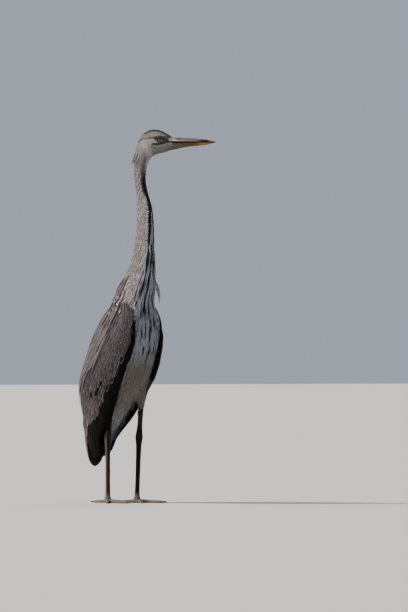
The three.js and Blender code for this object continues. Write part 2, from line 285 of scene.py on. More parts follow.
lineStart = middleOf("foot_left") * [1, 1, 0] - np.array([10, 38, 0]) * mm
bodyLine = {
    "headTurn": 48, "neckAxis": 63.5, "samples": 500,
    "rows": [  # ahead, reach, height, turn, tilt, half depth, half width
        (63.5, 82.5, 897.8, 48, 90, 16.6, 10.4), (63.5, 69, 900.3, 48, 86, 23.5, 13.6),
        (63.5, 52, 902.8, 48, 78, 30.6, 19.4), (63.5, 35, 901, 48, 70, 32.6, 20.4),
        (63.5, 21, 893.5, 48, 62, 31, 19), (63.5, 11, 880, 47, 52, 27, 16.6),
        (63.5, 4.5, 859.5, 45, 35, 21.2, 14.4), (63.5, 1, 835.2, 42, 20, 17.6, 12.8),
        (64, 0, 808.6, 36, 6, 15.8, 12.2), (69.5, 0, 781.6, 28, 0, 16, 12),
        (77, 0, 757, 20, 0, 18.6, 13.2), (82, 0, 730, 12, 0, 23, 16),
        (83.5, 0, 682, 6, 0, 27, 17.8), (80, 0, 632, 2, 0, 31.5, 20),
        (71, 0, 585, 0, 0, 42, 25), (54, 0, 545, 0, 0, 55.5, 35),
        (38, 0, 502, 0, 0, 61, 46), (29, 0, 457, 0, 0, 76, 57),
        (16, 0, 407, 0, 0, 89, 67), (-3, 0, 357, 0, 0, 94, 70),
        (-24, 0, 307, 0, 0, 89, 68), (-46, 0, 257, 0, 0, 70, 56),
        (-66, 0, 207, 0, 0, 50, 40), (-80, 0, 168, 0, 0, 30, 26),
        (-82, 0, 141, 0, 0, 13, 21), (-81, 0, 117, 0, 0, 4, 15),
    ],
}
headWay = np.array([math.cos(math.radians(48)), math.sin(math.radians(48)), 0])
headLeft = np.array([-headWay[1], headWay[0], 0])
neckFoot = lineStart + np.array([bodyLine["neckAxis"] * mm, 0, 0])
headTurn = math.radians(bodyLine["headTurn"])
headWay = np.array([math.cos(headTurn), math.sin(headTurn), 0])
headLeft = np.array([-headWay[1], headWay[0], 0])
neckFoot = lineStart + np.array([bodyLine["neckAxis"] * mm, 0, 0])


def layBodyLine():
    rowPlaces = np.linspace(0, len(bodyLine["rows"]) - 1, bodyLine["samples"])
    ahead, reach, height, turn, tilt, depth, width = smoothRows(bodyLine["rows"], rowPlaces).T
    turn, tilt = np.radians(turn), np.radians(tilt)
    centres = lineStart + np.stack([ahead * mm, 0 * ahead, height * mm], 1) + reach[:, None] * mm * headWay
    forward = np.stack([np.cos(turn), np.sin(turn), 0 * turn], 1)
    left = np.stack([-np.sin(turn), np.cos(turn), 0 * turn], 1)
    throat = forward * np.cos(tilt)[:, None] - np.array([0, 0, 1]) * np.sin(tilt)[:, None]
    return {"row": rowPlaces, "centre": centres, "throat": throat, "left": left,
            "along": unit(np.gradient(centres, axis=0)), "depth": depth * mm, "width": width * mm}


line = layBodyLine()


def placeOnLine(points):  # nearest step of the line, and angle round it: 0 at the throat, + to the left
    nearest = np.empty(len(points), int)
    for start in range(0, len(points), 20000):
        block = points[start:start + 20000]
        gaps = ((block[:, None, :] - line["centre"][None]) ** 2).sum(2)
        nearest[start:start + 20000] = gaps.argmin(1)
    out = points - line["centre"][nearest]
    down = (out * line["throat"][nearest]).sum(1) / line["depth"][nearest]
    across = (out * line["left"][nearest]).sum(1) / line["width"][nearest]
    return nearest, np.degrees(np.arctan2(across, down))


# the folded wings: level sections of a shell round the trunk, in mm from the same place

wingForm = {
    "rows": [  # height, ahead, half depth, half width, front angle, back angle
        (503, 37, 60, 47, 72, 104), (486, 35, 68, 55, 52, 124), (457, 30, 81, 65, 43, 138),
        (407, 18, 96, 77, 38, 152), (357, 0, 101, 81, 37, 162), (307, -21, 97, 80, 38, 168),
        (257, -40.5, 83, 67, 36, 171), (207, -58.5, 64, 49.5, 34, 172), (157, -78, 43, 36, 34, 170),
        (125, -84, 37, 28, 30, 166), (100, -84, 30, 24, 42, 156), (89, -84, 12, 18, 80, 124),
    ],
    "square": 2.3, "fold": 207, "stand": {"top": 400, "full": 250, "fading": 165, "end": 100},
    "right": {"side": -1, "tip": 1.0, "droop": 17}, "left": {"side": 1, "tip": 0.75, "droop": 1},
    "bottom": 89, "top": 503, "levels": 260, "shares": 61,
}


def layWing(wing):
    rows = smoothRows(wingForm["rows"], np.linspace(0, len(wingForm["rows"]) - 1, 600))
    levels = np.linspace(wingForm["bottom"], wingForm["top"], wingForm["levels"])
    ahead, depth, width, front, back = (np.interp(levels, rows[::-1, 0], rows[::-1, k]) for k in range(1, 6))
    shares = np.linspace(0, 1, wingForm["shares"])
    angle = np.radians(front[:, None] + (back - front)[:, None] * shares)
    power = 2 / wingForm["square"]
    forward = depth[:, None] * np.sign(np.cos(angle)) * np.abs(np.cos(angle)) ** power
    aside = width[:, None] * np.abs(np.sin(angle)) ** power
    stand = wingForm["stand"]
    outward = (wing["droop"] * between(levels, stand["top"], stand["full"])
               * between(levels, stand["end"], stand["fading"]))[:, None] * (1 - shares)
    fold = wingForm["fold"]
    drop = np.where(levels < fold, fold - (fold - levels) * wing["tip"], levels)
    sheet = np.stack([ahead[:, None] + forward, wing["side"] * (aside + outward),
                      np.repeat(drop[:, None], len(shares), 1)], 2) * mm + lineStart
    normals = unit(np.cross(np.gradient(sheet, axis=0), np.gradient(sheet, axis=1))) * -wing["side"]
    return {"levels": levels, "sheet": sheet, "normals": normals, **wing}


wings = {name: layWing(wingForm[name]) for name in ("right", "left")}


def onWing(wing, level, share):  # the outer face at a height in mm and a share from front edge to back
    bottom, top, rows, columns = (wingForm[key] for key in ("bottom", "top", "levels", "shares"))
    row = np.clip((level - bottom) / (top - bottom), 0, 1) * (rows - 1)
    column = np.clip(share, 0, 1) * (columns - 1)
    r, c = np.minimum(row.astype(int), rows - 2), np.minimum(column.astype(int), columns - 2)
    fr, fc = (row - r)[..., None], (column - c)[..., None]
    sheet = wing["sheet"]
    place, normal = ((grid[r, c] * (1 - fc) + grid[r, c + 1] * fc) * (1 - fr)
                     + (grid[r + 1, c] * (1 - fc) + grid[r + 1, c + 1] * fc) * fr
                     for grid in (sheet, wing["normals"]))
    past = np.minimum(level - bottom, 0)[..., None] * mm  # past the tip the feathers run straight on
    ahead, behind = np.minimum(share, 0)[..., None], np.maximum(share - 1, 0)[..., None]
    place = place + past * np.array([-0.12, 0, 1])
    place += ahead * (sheet[r, 1] - sheet[r, 0]) * (columns - 1)
    place += behind * (sheet[r, -1] - sheet[r, -2]) * (columns - 1)
    return place, unit(normal)


print("body line and wings laid out")

# markings: the same colours for skin and feathers, by place on the bird

plumageTones = {
    "cap": "38343a", "crownSide": "a3958f", "brow": "cfc9c2", "cheek": "c9c5c0", "ear": "b7aea8",
    # chin: the pale chin's colour darkened as painted shade
    "chin": "857b6b", "lores": "5a646c", "eyeLine": "26262b", "wedge": "e3dcc6",
    "nape": "a79d9a", "hindNeck": "aaa09f",
    # breast: its own pale grey, darkened and blued as painted shade
    "foreNeck": "a1a5b0", "streak": "0b0b10", "neckDark": "3c3d47", "breast": "9298a6", "belly": "706e6b",
    "stain": "665a43", "vent": "898a93", "thigh": "716d69", "mantle": "726a6c",
    "scapular": "6c6467", "covert": "4c474b", "covertDark": "2c292e", "fringe": "9b918f", "black": "010102",
    "tertial": "494549", "tail": "34353d", "shoulderWhite": "f2ece4", "wingGapShade": "0e0e12",
    # face: a painted shade for the face below the eye
    "claw": "4a4137", "face": "85807c", "legLitSide": "5a4c42", "legShadedSide": "040303",
    "ankle": "28271f", "toe": "857a6f", "tibia": "2c2818",
}
tones = {name: colour(code) for name, code in plumageTones.items()}

streakLines = [  # height, angle from the throat, half width; and the height below which a pair is broken up
    ([(772, 5, 3.4), (757, 12, 3.6), (730, 16, 3.7), (700, 19, 3.7), (660, 22, 3.0), (637, 24, 2.4),
      (600, 28, 2.2),
      (560, 33, 2.5), (505, 38, 2.8)], 0),
    ([(655, 0, 1.2), (637, 2, 1.5), (600, 8, 2.0), (560, 15, 2.5), (520, 16, 2.8), (480, 15.5, 2.9),
      (440, 14.5, 2.8),
      (400, 15, 2.8), (365, 16, 2.4)], 510),
    ([(572, 46, 1.3), (545, 49, 1.6), (500, 51, 1.8)], 545),
    ([(530, 0, 1.4), (505, 1, 2.0), (420, 2, 2.6), (335, 3, 2.4)], 480),
    ([(500, 25, 1.6), (460, 24, 2.0), (400, 24, 2.0), (360, 25, 1.6)], 500),
]
beadLine = [(745, 34), (700, 35), (660, 40), (632, 44), (600, 55), (560, 62), (530, 59), (508, 54)]
throatLean = [(420, 0), (560, 4), (700, 7), (800, 6), (840, 0)]  # the throat turns a little to the right


def plain(tone, count):
    return np.tile(tones[tone], (count, 1))


def lay(base, amount, tone):
    return base + np.clip(amount, 0, 1)[:, None] * (tones[tone] - base)


def layAll(base, layers):
    for amount, tone in layers:
        base = lay(base, amount, tone)
    return base


def markings(points):
    if points.ndim == 3:
        return markings(points.reshape(-1, 3)).reshape(points.shape)
    nearest, angle = placeOnLine(points)
    row = line["row"][nearest]
    girth = line["width"][nearest] / mm
    height = points[:, 2] / mm
    angle = angle + np.interp(height, *zip(*throatLean))
    turned = np.abs(angle)
    reach = (points - neckFoot) @ headWay / mm
    grain = 0.5 + 0.5 * np.sin(height * 0.83 + angle * 0.21) * np.sin(height * 0.37 - angle * 0.33)
    farEdge = np.interp(height, [285, 320, 350, 380, 410, 440], [62, 42, 31, 31, 42, 62])
    vee = np.interp(height, [748, 760, 775, 800, 830, 850, 868], [2, 22, 52, 64, 72, 80, 80])
    inVee = band(height, 748, 758, 862, 880) * (row > 4.5)
    hollow = between(height, 824, 842) * between(turned, vee - 26, vee - 42)
    veeEdge = between(turned, vee + 10, vee - 4) * (1 - hollow) * np.interp(height, [800, 870], [1, 0.55])
    core = between(turned, np.minimum(vee - 6, 52), np.minimum(vee - 14, 44))
    shade = layAll(plain("hindNeck", len(points)), [
        (between(turned, 62, 40) * between(row, 7.6, 8.6), "foreNeck"),
        # the breast's own pale grey, laid darker and bluer as painted shade
        (between(height, 520, 470) * between(turned, 125, 95), "breast"),
        (between(height, 400, 330) * between(turned, 110, 75), "belly"),
        (spot(angle, height, -4, 330, 22, 38) * 0.7, "stain"),
        (spot(angle, height, -20, 300, 18, 28) * 0.4, "stain"),
        (band(turned, 38, 46, 54, 62) * band(height, 290, 340, 450, 480), "foreNeck"),
        (between(height, 260, 200) * between(turned, 110, 60), "vent"),
        (between(height, 152, 140), "tail"),
        (between(turned, 54, 66) * band(height, 455, 475, 494, 514), "covert"),
        (between(turned, 92, 120) * between(height, 560, 520), "mantle"),
        # the far wing's dark front edge
        (between(angle, farEdge - 3, farEdge + 3) * band(height, 285, 300, 425, 440), "black"),
        # the dark V of the upper foreneck and its pale edge
        (inVee * veeEdge, "neckDark"),
        (inVee * core * between(height, 832, 806), "streak"),
        (closeTo(height + turned * 0.22, 766, 1.6, 3.2) * (turned < 72) * (row > 7) * 0.9, "brow"),
    ])
    for path, broken in streakLines:
        heights, angles, halves = columnsOf(path[::-1])
        phase = path[0][1] + path[0][2]
        half = np.interp(height, heights, halves)
        off = np.abs(turned - np.interp(height, heights, angles)) * np.pi / 180 * girth
        wander = np.sin(height * 0.09 + np.sign(angle) * 1.3 + phase) * (height < 660) * half * 0.3
        fade = band(height, heights[0] - 14, heights[0] + 24, heights[-1], heights[-1] + 8)
        whole = (np.sin(height * 0.105 + np.sign(angle) * 1.9 + phase * 2) > -0.45) | (height > broken)
        core = between(off + wander, half * 1.25, half * 0.8)
        shade = lay(shade, fade * whole * core * (row > 6), "streak")
    mottle = band(height, 500, 560, 620, 690) * between(turned, 50, 70)  # of the lower hindneck
    shade = lay(shade, mottle * 0.55 * (grain > 0.62), "covertDark")
    shade = lay(shade, mottle * 0.5 * (grain < 0.3), "brow")
    crownEdge = np.interp(reach, [-6, 5, 15, 27, 42], [900.5, 908, 910, 911, 910.5])
    crest = np.interp(reach, [2, 12, 20, 60, 80], [180, 150, 136, 136, 150])
    under = np.interp(reach, [30, 37, 50, 60, 70], [897, 895.5, 895.5, 898.5, 901])
    face = layAll(plain("cheek", len(points)), [
        (between(turned, 98, 112), "crownSide"),
        (between(turned, 60, 80) * between(reach, 40, 18) * 0.4, "ear"),
        (spot(reach, height, 10, 890.5, 14, 15) * (turned > 40), "brow"),
        # painted shade: the face below the eye and forward of it is laid in a darker grey
        (between(reach, 20, 34) * between(height, 898.5, 894.5) * 0.8, "face"),
        (band(reach, 26, 36, 66, 74) * closeTo(height, 892.5, 2.5, 4.5) * 0.4, "brow"),
        (closeTo(height, crownEdge, 1.2, 3.2) * between(reach, 44, 38) * 0.6, "cap"),
        (spot(reach, height, -4, 902, 5, 3.5) * 0.7, "cap"),
        (spot(reach, height, 52, 916.8, 15, 2.2) * (turned < 140) * 1.2, "brow"),
        (between(turned, crest, crest + 10), "cap"),
        (spot(reach, height, 74, 916.5, 9, 4) * between(turned, 92, 112) * 0.9, "cap"),
        (spot(reach, height, 34, 924.5, 16, 3) * between(turned, 100, 120) * 0.5, "brow"),
        # painted shade: the pale chin and throat under the head are laid darker, and darker still under the
        # base of the bill
        (between(turned, 58, 28) * 0.8, "chin"),
        (between(reach, 62, 80) * between(height, 894, 888) * 0.5, "ankle"),
        (closeTo(height, under, 1.5, 2.9) * band(reach, 29, 34, 70, 76), "eyeLine"),
        (spot(reach, height, 64, 905.5, 9, 6.2) * 1.7 * (turned > 40) * (turned < 150), "lores"),
        (spot(reach, height, 41, 909.5, 4.5, 3.2) * 1.4, "eyeLine"),
        (between(reach, 71, 74) * closeTo(height, 906.9, 2.6, 4.2), "wedge"),
        (between(reach, 64, 68) * closeTo(height, 900.7, 1.2, 2.4), "eyeLine"),
    ])
    shade = shade + between(row, 6.0, 4.6)[:, None] * (face - shade)
    return lay(shade, band(row, 4.2, 5.4, 8, 10) * between(turned, 60, 95) * 0.7, "nape")


print("markings ready")

# the skin: the flesh merged into one surface, sunk by the depth of the coat

skinMake = {
    "joinBy": 0.5, "voxel": 2.8, "legVoxel": 1.15, "thin": 0.3,
    "coat": {"head": 1.2, "neck": 2.0, "trunk": 3.6, "wing": 2.8, "tail": 2.6, "thigh": 3.4, "tibia": 1.6},
    "parts": {
        "head": ["head"], "neck": ["neck_upper", "neck_middle", "neck_lower"], "trunk": ["trunk"],
        "tail": ["tail"], "wing": ["wing_left", "wing_right"], "thigh": ["thigh_left", "thigh_right"],
        "tibia": ["tibia_left", "tibia_right"],
    },
}
toeNames = ["middle", "outer", "inner", "hind"]
legNodes = [f"{part}_{side}" for side in ("left", "right")
            for part in ["tibia", "tarsus", "foot"] + [f"toe_{side}_{toe}" for toe in toeNames]]
legNodes = [name if not name.startswith("toe") else name.rsplit("_", 1)[0] for name in legNodes]
toeNames = ["middle", "outer", "inner", "hind"]
legNodes = [node for side in sides for node in [f"{part}_{side}" for part in ("tibia", "tarsus", "foot")]
            + [f"toe_{side}_{toe}" for toe in toeNames]]
bareNodes = [name for name in legNodes if not name.startswith("tibia")]
fleshNodes = [node for nodes in skinMake["parts"].values() for node in nodes]


def mergedCopy(names, name):
    built = bmesh.new()
    for node in names:
        built.from_mesh(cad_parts[node].data)
    bmesh.ops.remove_doubles(built, verts=built.verts, dist=0.01 * mm)
    bmesh.ops.recalc_face_normals(built, faces=built.faces)
    mesh = bpy.data.meshes.new(name)
    built.to_mesh(mesh)
    built.free()
    return putInScene(name, mesh)


def keepLargest(piece):
    pickOnly(piece)
    bpy.ops.object.mode_set(mode="EDIT")
    bpy.ops.mesh.select_all(action="SELECT")
    bpy.ops.mesh.separate(type="LOOSE")
    bpy.ops.object.mode_set(mode="OBJECT")
    islands = sorted(bpy.context.selected_objects, key=lambda island: len(island.data.vertices))
    kept = islands.pop()
    for island in islands:
        bpy.data.objects.remove(island)
    return kept


def evenOut(values, ends, rounds):  # each vertex's value drawn towards its neighbours'
    flat = values.reshape(len(values), -1)
    count = np.maximum(np.bincount(ends.ravel(), minlength=len(values)), 1)
    for _ in range(rounds):
        total = np.stack([np.bincount(ends[:, 0], column[ends[:, 1]], len(values))
                          + np.bincount(ends[:, 1], column[ends[:, 0]], len(values)) for column in flat.T], 1)
        flat = 0.5 * flat + 0.5 * total / count[:, None]
    return flat.reshape(values.shape)


def treeOf(mesh):
    return BVHTree.FromPolygons(pointsOf(mesh).tolist(), trianglesOf(mesh).tolist())


def partsTree(parts):  # one tree of the flesh solids, and which part each face belongs to
    corners, faces, labels, count = [], [], [], 0
    for index, nodes in enumerate(parts.values()):
        for node in nodes:
            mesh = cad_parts[node].data
            triangles = trianglesOf(mesh)
            corners += pointsOf(mesh).tolist()
            faces += (triangles + count).tolist()
            labels += [index] * len(triangles)
            count = len(corners)
    return BVHTree.FromPolygons(corners, faces), np.array(labels)


def nearestFace(tree, points):
    return np.array([tree.find_nearest(Vector(point))[2] for point in points])


def sink(piece, depths):
    mesh = piece.data
    places, normals = pointsOf(mesh), normalsOf(mesh)
    tree = treeOf(mesh)
    room = np.full(len(places), 1.0)
    for index, (place, normal) in enumerate(zip(places, normals)):
        hit = tree.ray_cast(Vector(place - normal * 0.2 * mm), Vector(-normal))
        if hit[0] is not None:
            room[index] = hit[3]
    depths = evenOut(np.minimum(depths, skinMake["thin"] * room), edgesOf(mesh), 8)
    setPoints(mesh, places - normals * depths[:, None])
    mesh.update()


def melted(nodes, name, voxel, rounds):  # the solids swollen a little until they join, as one smooth surface
    piece = mergedCopy(nodes, name)
    addModifier(piece, "DISPLACE", strength=skinMake["joinBy"] * mm, mid_level=0)
    addModifier(piece, "REMESH", mode="VOXEL", voxel_size=voxel * mm)
    addModifier(piece, "SMOOTH", factor=0.5, iterations=rounds)
    return piece


def makeSkin():
    parts = skinMake["parts"]
    body = keepLargest(melted(fleshNodes, "skin", skinMake["voxel"], 8))
    tree, labels = partsTree(parts)
    part = labels[nearestFace(tree, pointsOf(body.data))]
    sink(body, (np.array([skinMake["coat"][name] for name in parts])[part] + skinMake["joinBy"]) * mm)
    legs = melted(legNodes, "legs", skinMake["legVoxel"], 4)
    setPoints(legs.data, pointsOf(legs.data) - normalsOf(legs.data) * skinMake["joinBy"] * mm)
    addModifier(body, "BOOLEAN", operation="UNION", object=legs, solver="FAST")
    bpy.data.objects.remove(legs)
    body.name = "skin"
    print("skin merged:", len(body.data.polygons), "faces")
    return body


skin = makeSkin()


def readSkin(piece):
    mesh = piece.data
    corners, faces = pointsOf(mesh), trianglesOf(mesh)
    normals = evenOut(normalsOf(mesh), edgesOf(mesh), 3)
    solids = {**skinMake["parts"], "leg": bareNodes}
    names = list(solids)
    solidTree, labels = partsTree(solids)
    part = labels[nearestFace(solidTree, corners)]
    lie = line["along"][placeOnLine(corners)[0]]
    for side, sign in zip(sides, (1, -1)):
        own = (part == names.index("thigh")) & (np.sign(corners[:, 1] - lineStart[1]) == sign)
        lie[own] = unit(middleOf(f"tibia_{side}") - middleOf(f"thigh_{side}"))
    lie = evenOut(lie, edgesOf(mesh), 12)
    return {"tree": treeOf(mesh), "corners": corners, "faces": faces, "names": names,
            "part": part[faces[:, 0]], "cornerPart": part,
            "normal": unit(normals[faces].mean(1)), "lie": lie[faces].mean(1)}


hide = readSkin(skin)


def isPart(*names, of="part"):
    return np.isin(hide[of], [hide["names"].index(name) for name in names])


def nearWings(points):  # how far back on the nearest wing each point is, and how far off that wing
    share, gap = np.full(len(points), 2.0), np.full(len(points), 1.0)
    for wing in wings.values():
        sheet = wing["sheet"].reshape(-1, 3)
        if "finder" not in wing:
            wing["finder"] = KDTree(len(sheet))
            for index, place in enumerate(sheet):
                wing["finder"].insert(place, index)
            wing["finder"].balance()
        across, height = points[:, 1] * wing["side"] / mm, points[:, 2] / mm
        for index in np.nonzero((across > -5) & (height > 80) & (height < 515))[0]:
            _, at, off = wing["finder"].find(points[index])
            if off < gap[index]:
                gap[index] = off
                share[index] = (at % wingForm["shares"]) / (wingForm["shares"] - 1)
    return share, gap


def clearOfWings(places):  # which feathers keep their ends off the face of a wing
    ends = places[:, [2, 3, -1]].reshape(-1, 3)
    share, gap = nearWings(ends)
    over = (gap < 3.5 * mm) & (share > tableAt("lead", ends[:, 2] / mm) + 0.05)
    return ~over.reshape(len(places), 3).any(1)


hide["wingShare"], hide["wingGap"] = nearWings(hide["corners"])


def ontoSkin(points):
    found = [hide["tree"].find_nearest(Vector(point)) for point in points]
    return np.array([hit[0] for hit in found], float), np.array([hit[2] for hit in found])


def unwrapSkin(piece):
    pickOnly(piece)
    bpy.ops.object.mode_set(mode="EDIT")
    bpy.ops.mesh.select_all(action="SELECT")
    bpy.ops.uv.smart_project(angle_limit=math.radians(70), island_margin=0.001)
    bpy.ops.object.mode_set(mode="OBJECT")
    layer = piece.data.uv_layers.active
    layer.name = "OFBake"
    flat = readAll(layer.uv, "vector", 2, np.float32)
    hide["flat"] = flat[readAll(piece.data.loop_triangles, "loops", 3)].mean(1)


unwrapSkin(skin)
print("skin unwrapped")

# finishes

def featherPaint(name, barbs, shine, bloom=0.12):
    paint, tree, shader = newPaint(name)
    vane = addNode(tree, "SeparateXYZ", {"Vector": addNode(tree, "UVMap", {}, uv_map="vane")["UV"]})
    centred = mathNode(tree, "SUBTRACT", vane["X"], 0.5)
    away = mathNode(tree, "ABSOLUTE", centred)
    lean = mathNode(tree, "MULTIPLY_ADD", away, -0.55, vane["Y"])  # barbs run out and forward from the shaft
    joined = addNode(tree, "CombineXYZ", {"X": centred, "Y": lean})["Vector"]
    slant = addNode(tree, "Mapping", {"Vector": joined, "Scale": (1.3, barbs, 1)})["Vector"]
    inputs = {0: objectPlace(tree), 1: (9, 9, 9), 2: slant}
    grain = noise(tree, addNode(tree, "VectorMath", inputs, operation="MULTIPLY_ADD")["Vector"], 1, 3)
    lines = ramp(tree, grain, [(0.34, 0.62), (0.5, 0.9), (0.66, 1.0)])
    shaft = ramp(tree, away, [(0.0, 0.78), (0.05, 0.85), (0.11, 1.0)])
    base = multiply(tree, multiply(tree, plumeTint(tree), lines, 0.75), shaft, 0.5)
    feed(tree, shader, {
        "Base Color": base, "Normal": bump(tree, grain, 0.35, 0.0006), "Roughness": shine,
        "Specular IOR Level": 0.09, "Sheen Weight": bloom, "Sheen Roughness": 0.5})
    return paint


def hornPaint(name, grain, gloss):
    paint, tree, shader = newPaint(name)
    fleck = noise(tree, objectPlace(tree), grain, 4)
    base = multiply(tree, plumeTint(tree), ramp(tree, fleck, [(0.3, 0.7), (0.6, 1.0)]), 0.5)
    feed(tree, shader, {"Base Color": base, "Normal": bump(tree, fleck, 0.25, 0.0003), "Roughness": gloss,
                        "Specular IOR Level": 0.3})
    return paint


def skinPaint():
    paint, tree, shader = newPaint("skinUnderFeathers")
    fleck = ramp(tree, noise(tree, objectPlace(tree), 420), [(0.3, 0.6), (0.7, 1.0)])
    feed(tree, shader, {"Base Color": multiply(tree, plumeTint(tree), fleck), "Roughness": 0.85})
    return paint


def legPaint():
    paint, tree, shader = newPaint("legScales")
    squash = addNode(tree, "Mapping", {"Vector": objectPlace(tree), "Scale": (260, 260, 420)})["Vector"]
    cells = addNode(tree, "TexVoronoi", {"Vector": squash, "Scale": 1}, feature="DISTANCE_TO_EDGE")
    edges = ramp(tree, cells["Distance"], [(0.0, 0.45), (0.12, 0.9), (0.4, 1.0)])
    base = multiply(tree, plumeTint(tree), edges, 0.8)
    feed(tree, shader, {"Base Color": base, "Normal": bump(tree, edges, 0.6, 0.0004), "Roughness": 0.6,
                        "Specular IOR Level": 0.12})
    return paint


softPaint = featherPaint("softFeather", 26, 0.72)
finePaint = featherPaint("fineFeather", 9, 0.78)
flightPaint = featherPaint("flightFeather", 120, 0.55, 0.0)
print("feather paints ready")

# feathers: closed thin vanes traced over the skin, each one a ring of points swept from root to tip

vaneShapes = {  # share along the shaft, and half width there
    "scale": [(0, 0), (0.26, 0.66), (0.6, 1.0), (0.86, 0.8), (1, 0)],
    "plume": [(0, 0), (0.2, 0.7), (0.5, 1.0), (0.78, 0.7), (1, 0)],
    "down": [(0, 0), (0.3, 0.85), (0.72, 0.85), (1, 0)],
    "covert": [(0, 0), (0.15, 0.6), (0.38, 0.95), (0.62, 1.0), (0.82, 0.86), (0.94, 0.52), (1, 0)],
    "lance": [(0, 0), (0.1, 0.6), (0.3, 1.0), (0.55, 0.92), (0.78, 0.6), (0.92, 0.28), (1, 0)],
    "primary": [(0, 0), (0.06, 0.5), (0.2, 0.86), (0.45, 1.0), (0.7, 1.0), (0.86, 0.95), (0.95, 0.7),
                (0.985, 0.4), (1, 0)],
    "flight": [(0, 0), (0.06, 0.5), (0.2, 0.86), (0.4, 1.0), (0.6, 1.0), (0.78, 0.92), (0.9, 0.72),
               (0.97, 0.42), (1, 0)],
}
coatPieces = {}


def stationsOf(shape):
    return np.array([share for share, _ in vaneShapes[shape]])


def followLie(shape, roots, faces, lengths, yaw):  # the shaft's places on the skin, station by station
    stations = stationsOf(shape)
    place, face = roots, faces
    places, normals = [place], [hide["normal"][face]]
    for step in np.diff(stations):
        normal = normals[-1]
        lie = hide["lie"][face]
        lie = unit(lie - normal * (lie * normal).sum(1, keepdims=True))
        lie = unit(lie + np.cross(normal, lie) * yaw[:, None])
        reach = np.broadcast_to(lengths * mm * step, len(place))
        place, face = ontoSkin(place + lie * reach[:, None])
        places.append(place)
        normals.append(unit(0.5 * normals[-1] + hide["normal"][face]))
    return np.stack(places, 1), np.stack(normals, 1)


def growVanes(tract, shape, lie, tint, width, height, fringe=None, edge=0.5, tipEdge=None, tip=None,
              tipSpan=(0.6, 0.8), tipShow=1.0, across=2, camber=0.16, thick=0.16, keel=True, rise=0.6,
              root=0.88, roll=0.0):
    # lie: the places and normals along each shaft; height: of the root and of the tip; root: how much of the
    # colour is kept at the root end, a painted shade; all measures in mm
    places, normals = lie
    stations, half = columnsOf(vaneShapes[shape])
    count, steps = places.shape[:2]
    each = lambda value: np.broadcast_to(value, count)[:, None]
    half = half * each(width) * mm
    lift = (height[0] + (each(height[1]) - height[0]) * stations ** rise) * mm
    tangents = unit(np.gradient(places, axis=1))
    normals = unit(normals - tangents * (normals * tangents).sum(2, keepdims=True))
    aside = np.cross(tangents, normals)
    roll = each(roll)[..., None]
    cos, sin = np.cos(roll), np.sin(roll)
    aside, normals = aside * cos + normals * sin, normals * cos - aside * sin
    shafts = places + normals * lift[..., None]
    upper = np.linspace(-1, 1, across + 1)
    under = upper[1:-1][::-1] if keel else upper[:0]
    spread = np.concatenate([upper, under])
    below = np.concatenate([np.zeros(len(upper)), np.ones(len(under))])
    ring = len(spread)
    inner = shafts[:, 1:-1, None] + aside[:, 1:-1, None] * (half[:, 1:-1, None] * spread)[..., None]
    fall = half[:, 1:-1, None] * camber * spread ** 2 + thick * mm * below
    inner = inner - normals[:, 1:-1, None] * fall[..., None]
    corners = np.concatenate([shafts[:, :1], inner.reshape(count, -1, 3), shafts[:, -1:]], 1)
    faces, bakes = [], []
    for j in range(ring):
        k = (j + 1) % ring
        lo, hi = j / ring, (j + 1) / ring
        faces.append([0, 1 + k, 1 + j])
        bakes.append([((lo + hi) / 2, 0), (hi, stations[1]), (lo, stations[1])])
        for s in range(steps - 3):
            a, b = 1 + s * ring, 1 + (s + 1) * ring
            low, high = stations[s + 1:s + 3]
            faces.append([a + j, a + k, b + k, b + j])
            bakes.append([(lo, low), (hi, low), (hi, high), (lo, high)])
        last = 1 + (steps - 3) * ring
        faces.append([last + j, last + k, last + ring])
        bakes.append([(lo, stations[-2]), (hi, stations[-2]), ((lo + hi) / 2, 1)])
    bake = np.array([corner for face in bakes for corner in face], float)
    station = np.concatenate([[0], np.repeat(np.arange(1, steps - 1), ring), [steps - 1]])
    atShare = stations[station]
    atSpread = np.concatenate([[0], np.tile(spread, steps - 2), [0]])
    onPoints = lambda tone: tone[:, station] if tone.ndim == 3 else np.repeat(tone[:, None], len(station), 1)
    # painted shade: each vane is darker towards its root, by the root factor, where the feathers over it
    # would shade it
    shade = onPoints(tint) * (root + (1 - root) * between(atShare, 0, 0.55))[:, None]
    if tip is not None:
        shade = shade + (between(atShare, *tipSpan) * tipShow)[:, None] * (onPoints(tip) - shade)
    if fringe is not None:  # colours, or how much lighter than the feather
        fringe = tint * fringe if np.isscalar(fringe) else fringe
        rim = np.maximum(between(np.abs(atSpread), 0.55, 1.0) * between(atShare, 0.2, 0.5) * edge,
                         between(atShare, 0.8, 1.0) * (edge if tipEdge is None else tipEdge))
        shade = shade + rim[:, None] * (onPoints(fringe) - shade)
    rootSpots = hide["flat"][ontoSkin(places[:, 0])[1]]
    loops = np.array([corner for face in faces for corner in face])
    coatPieces.setdefault(tract, []).append({
        "corners": corners, "loops": loops, "sizes": np.array([len(face) for face in faces]), "tint": shade,
        "patch": rootSpots[:, None] + (bake - 0.5) * 0.003,
        "vane": np.stack([atSpread * 0.5 + 0.5, atShare], 1)})


def growOnSkin(tract, shape, roots, faces, lengths, yaw, **looks):
    growVanes(tract, shape, followLie(shape, roots, faces, lengths, yaw), **looks)


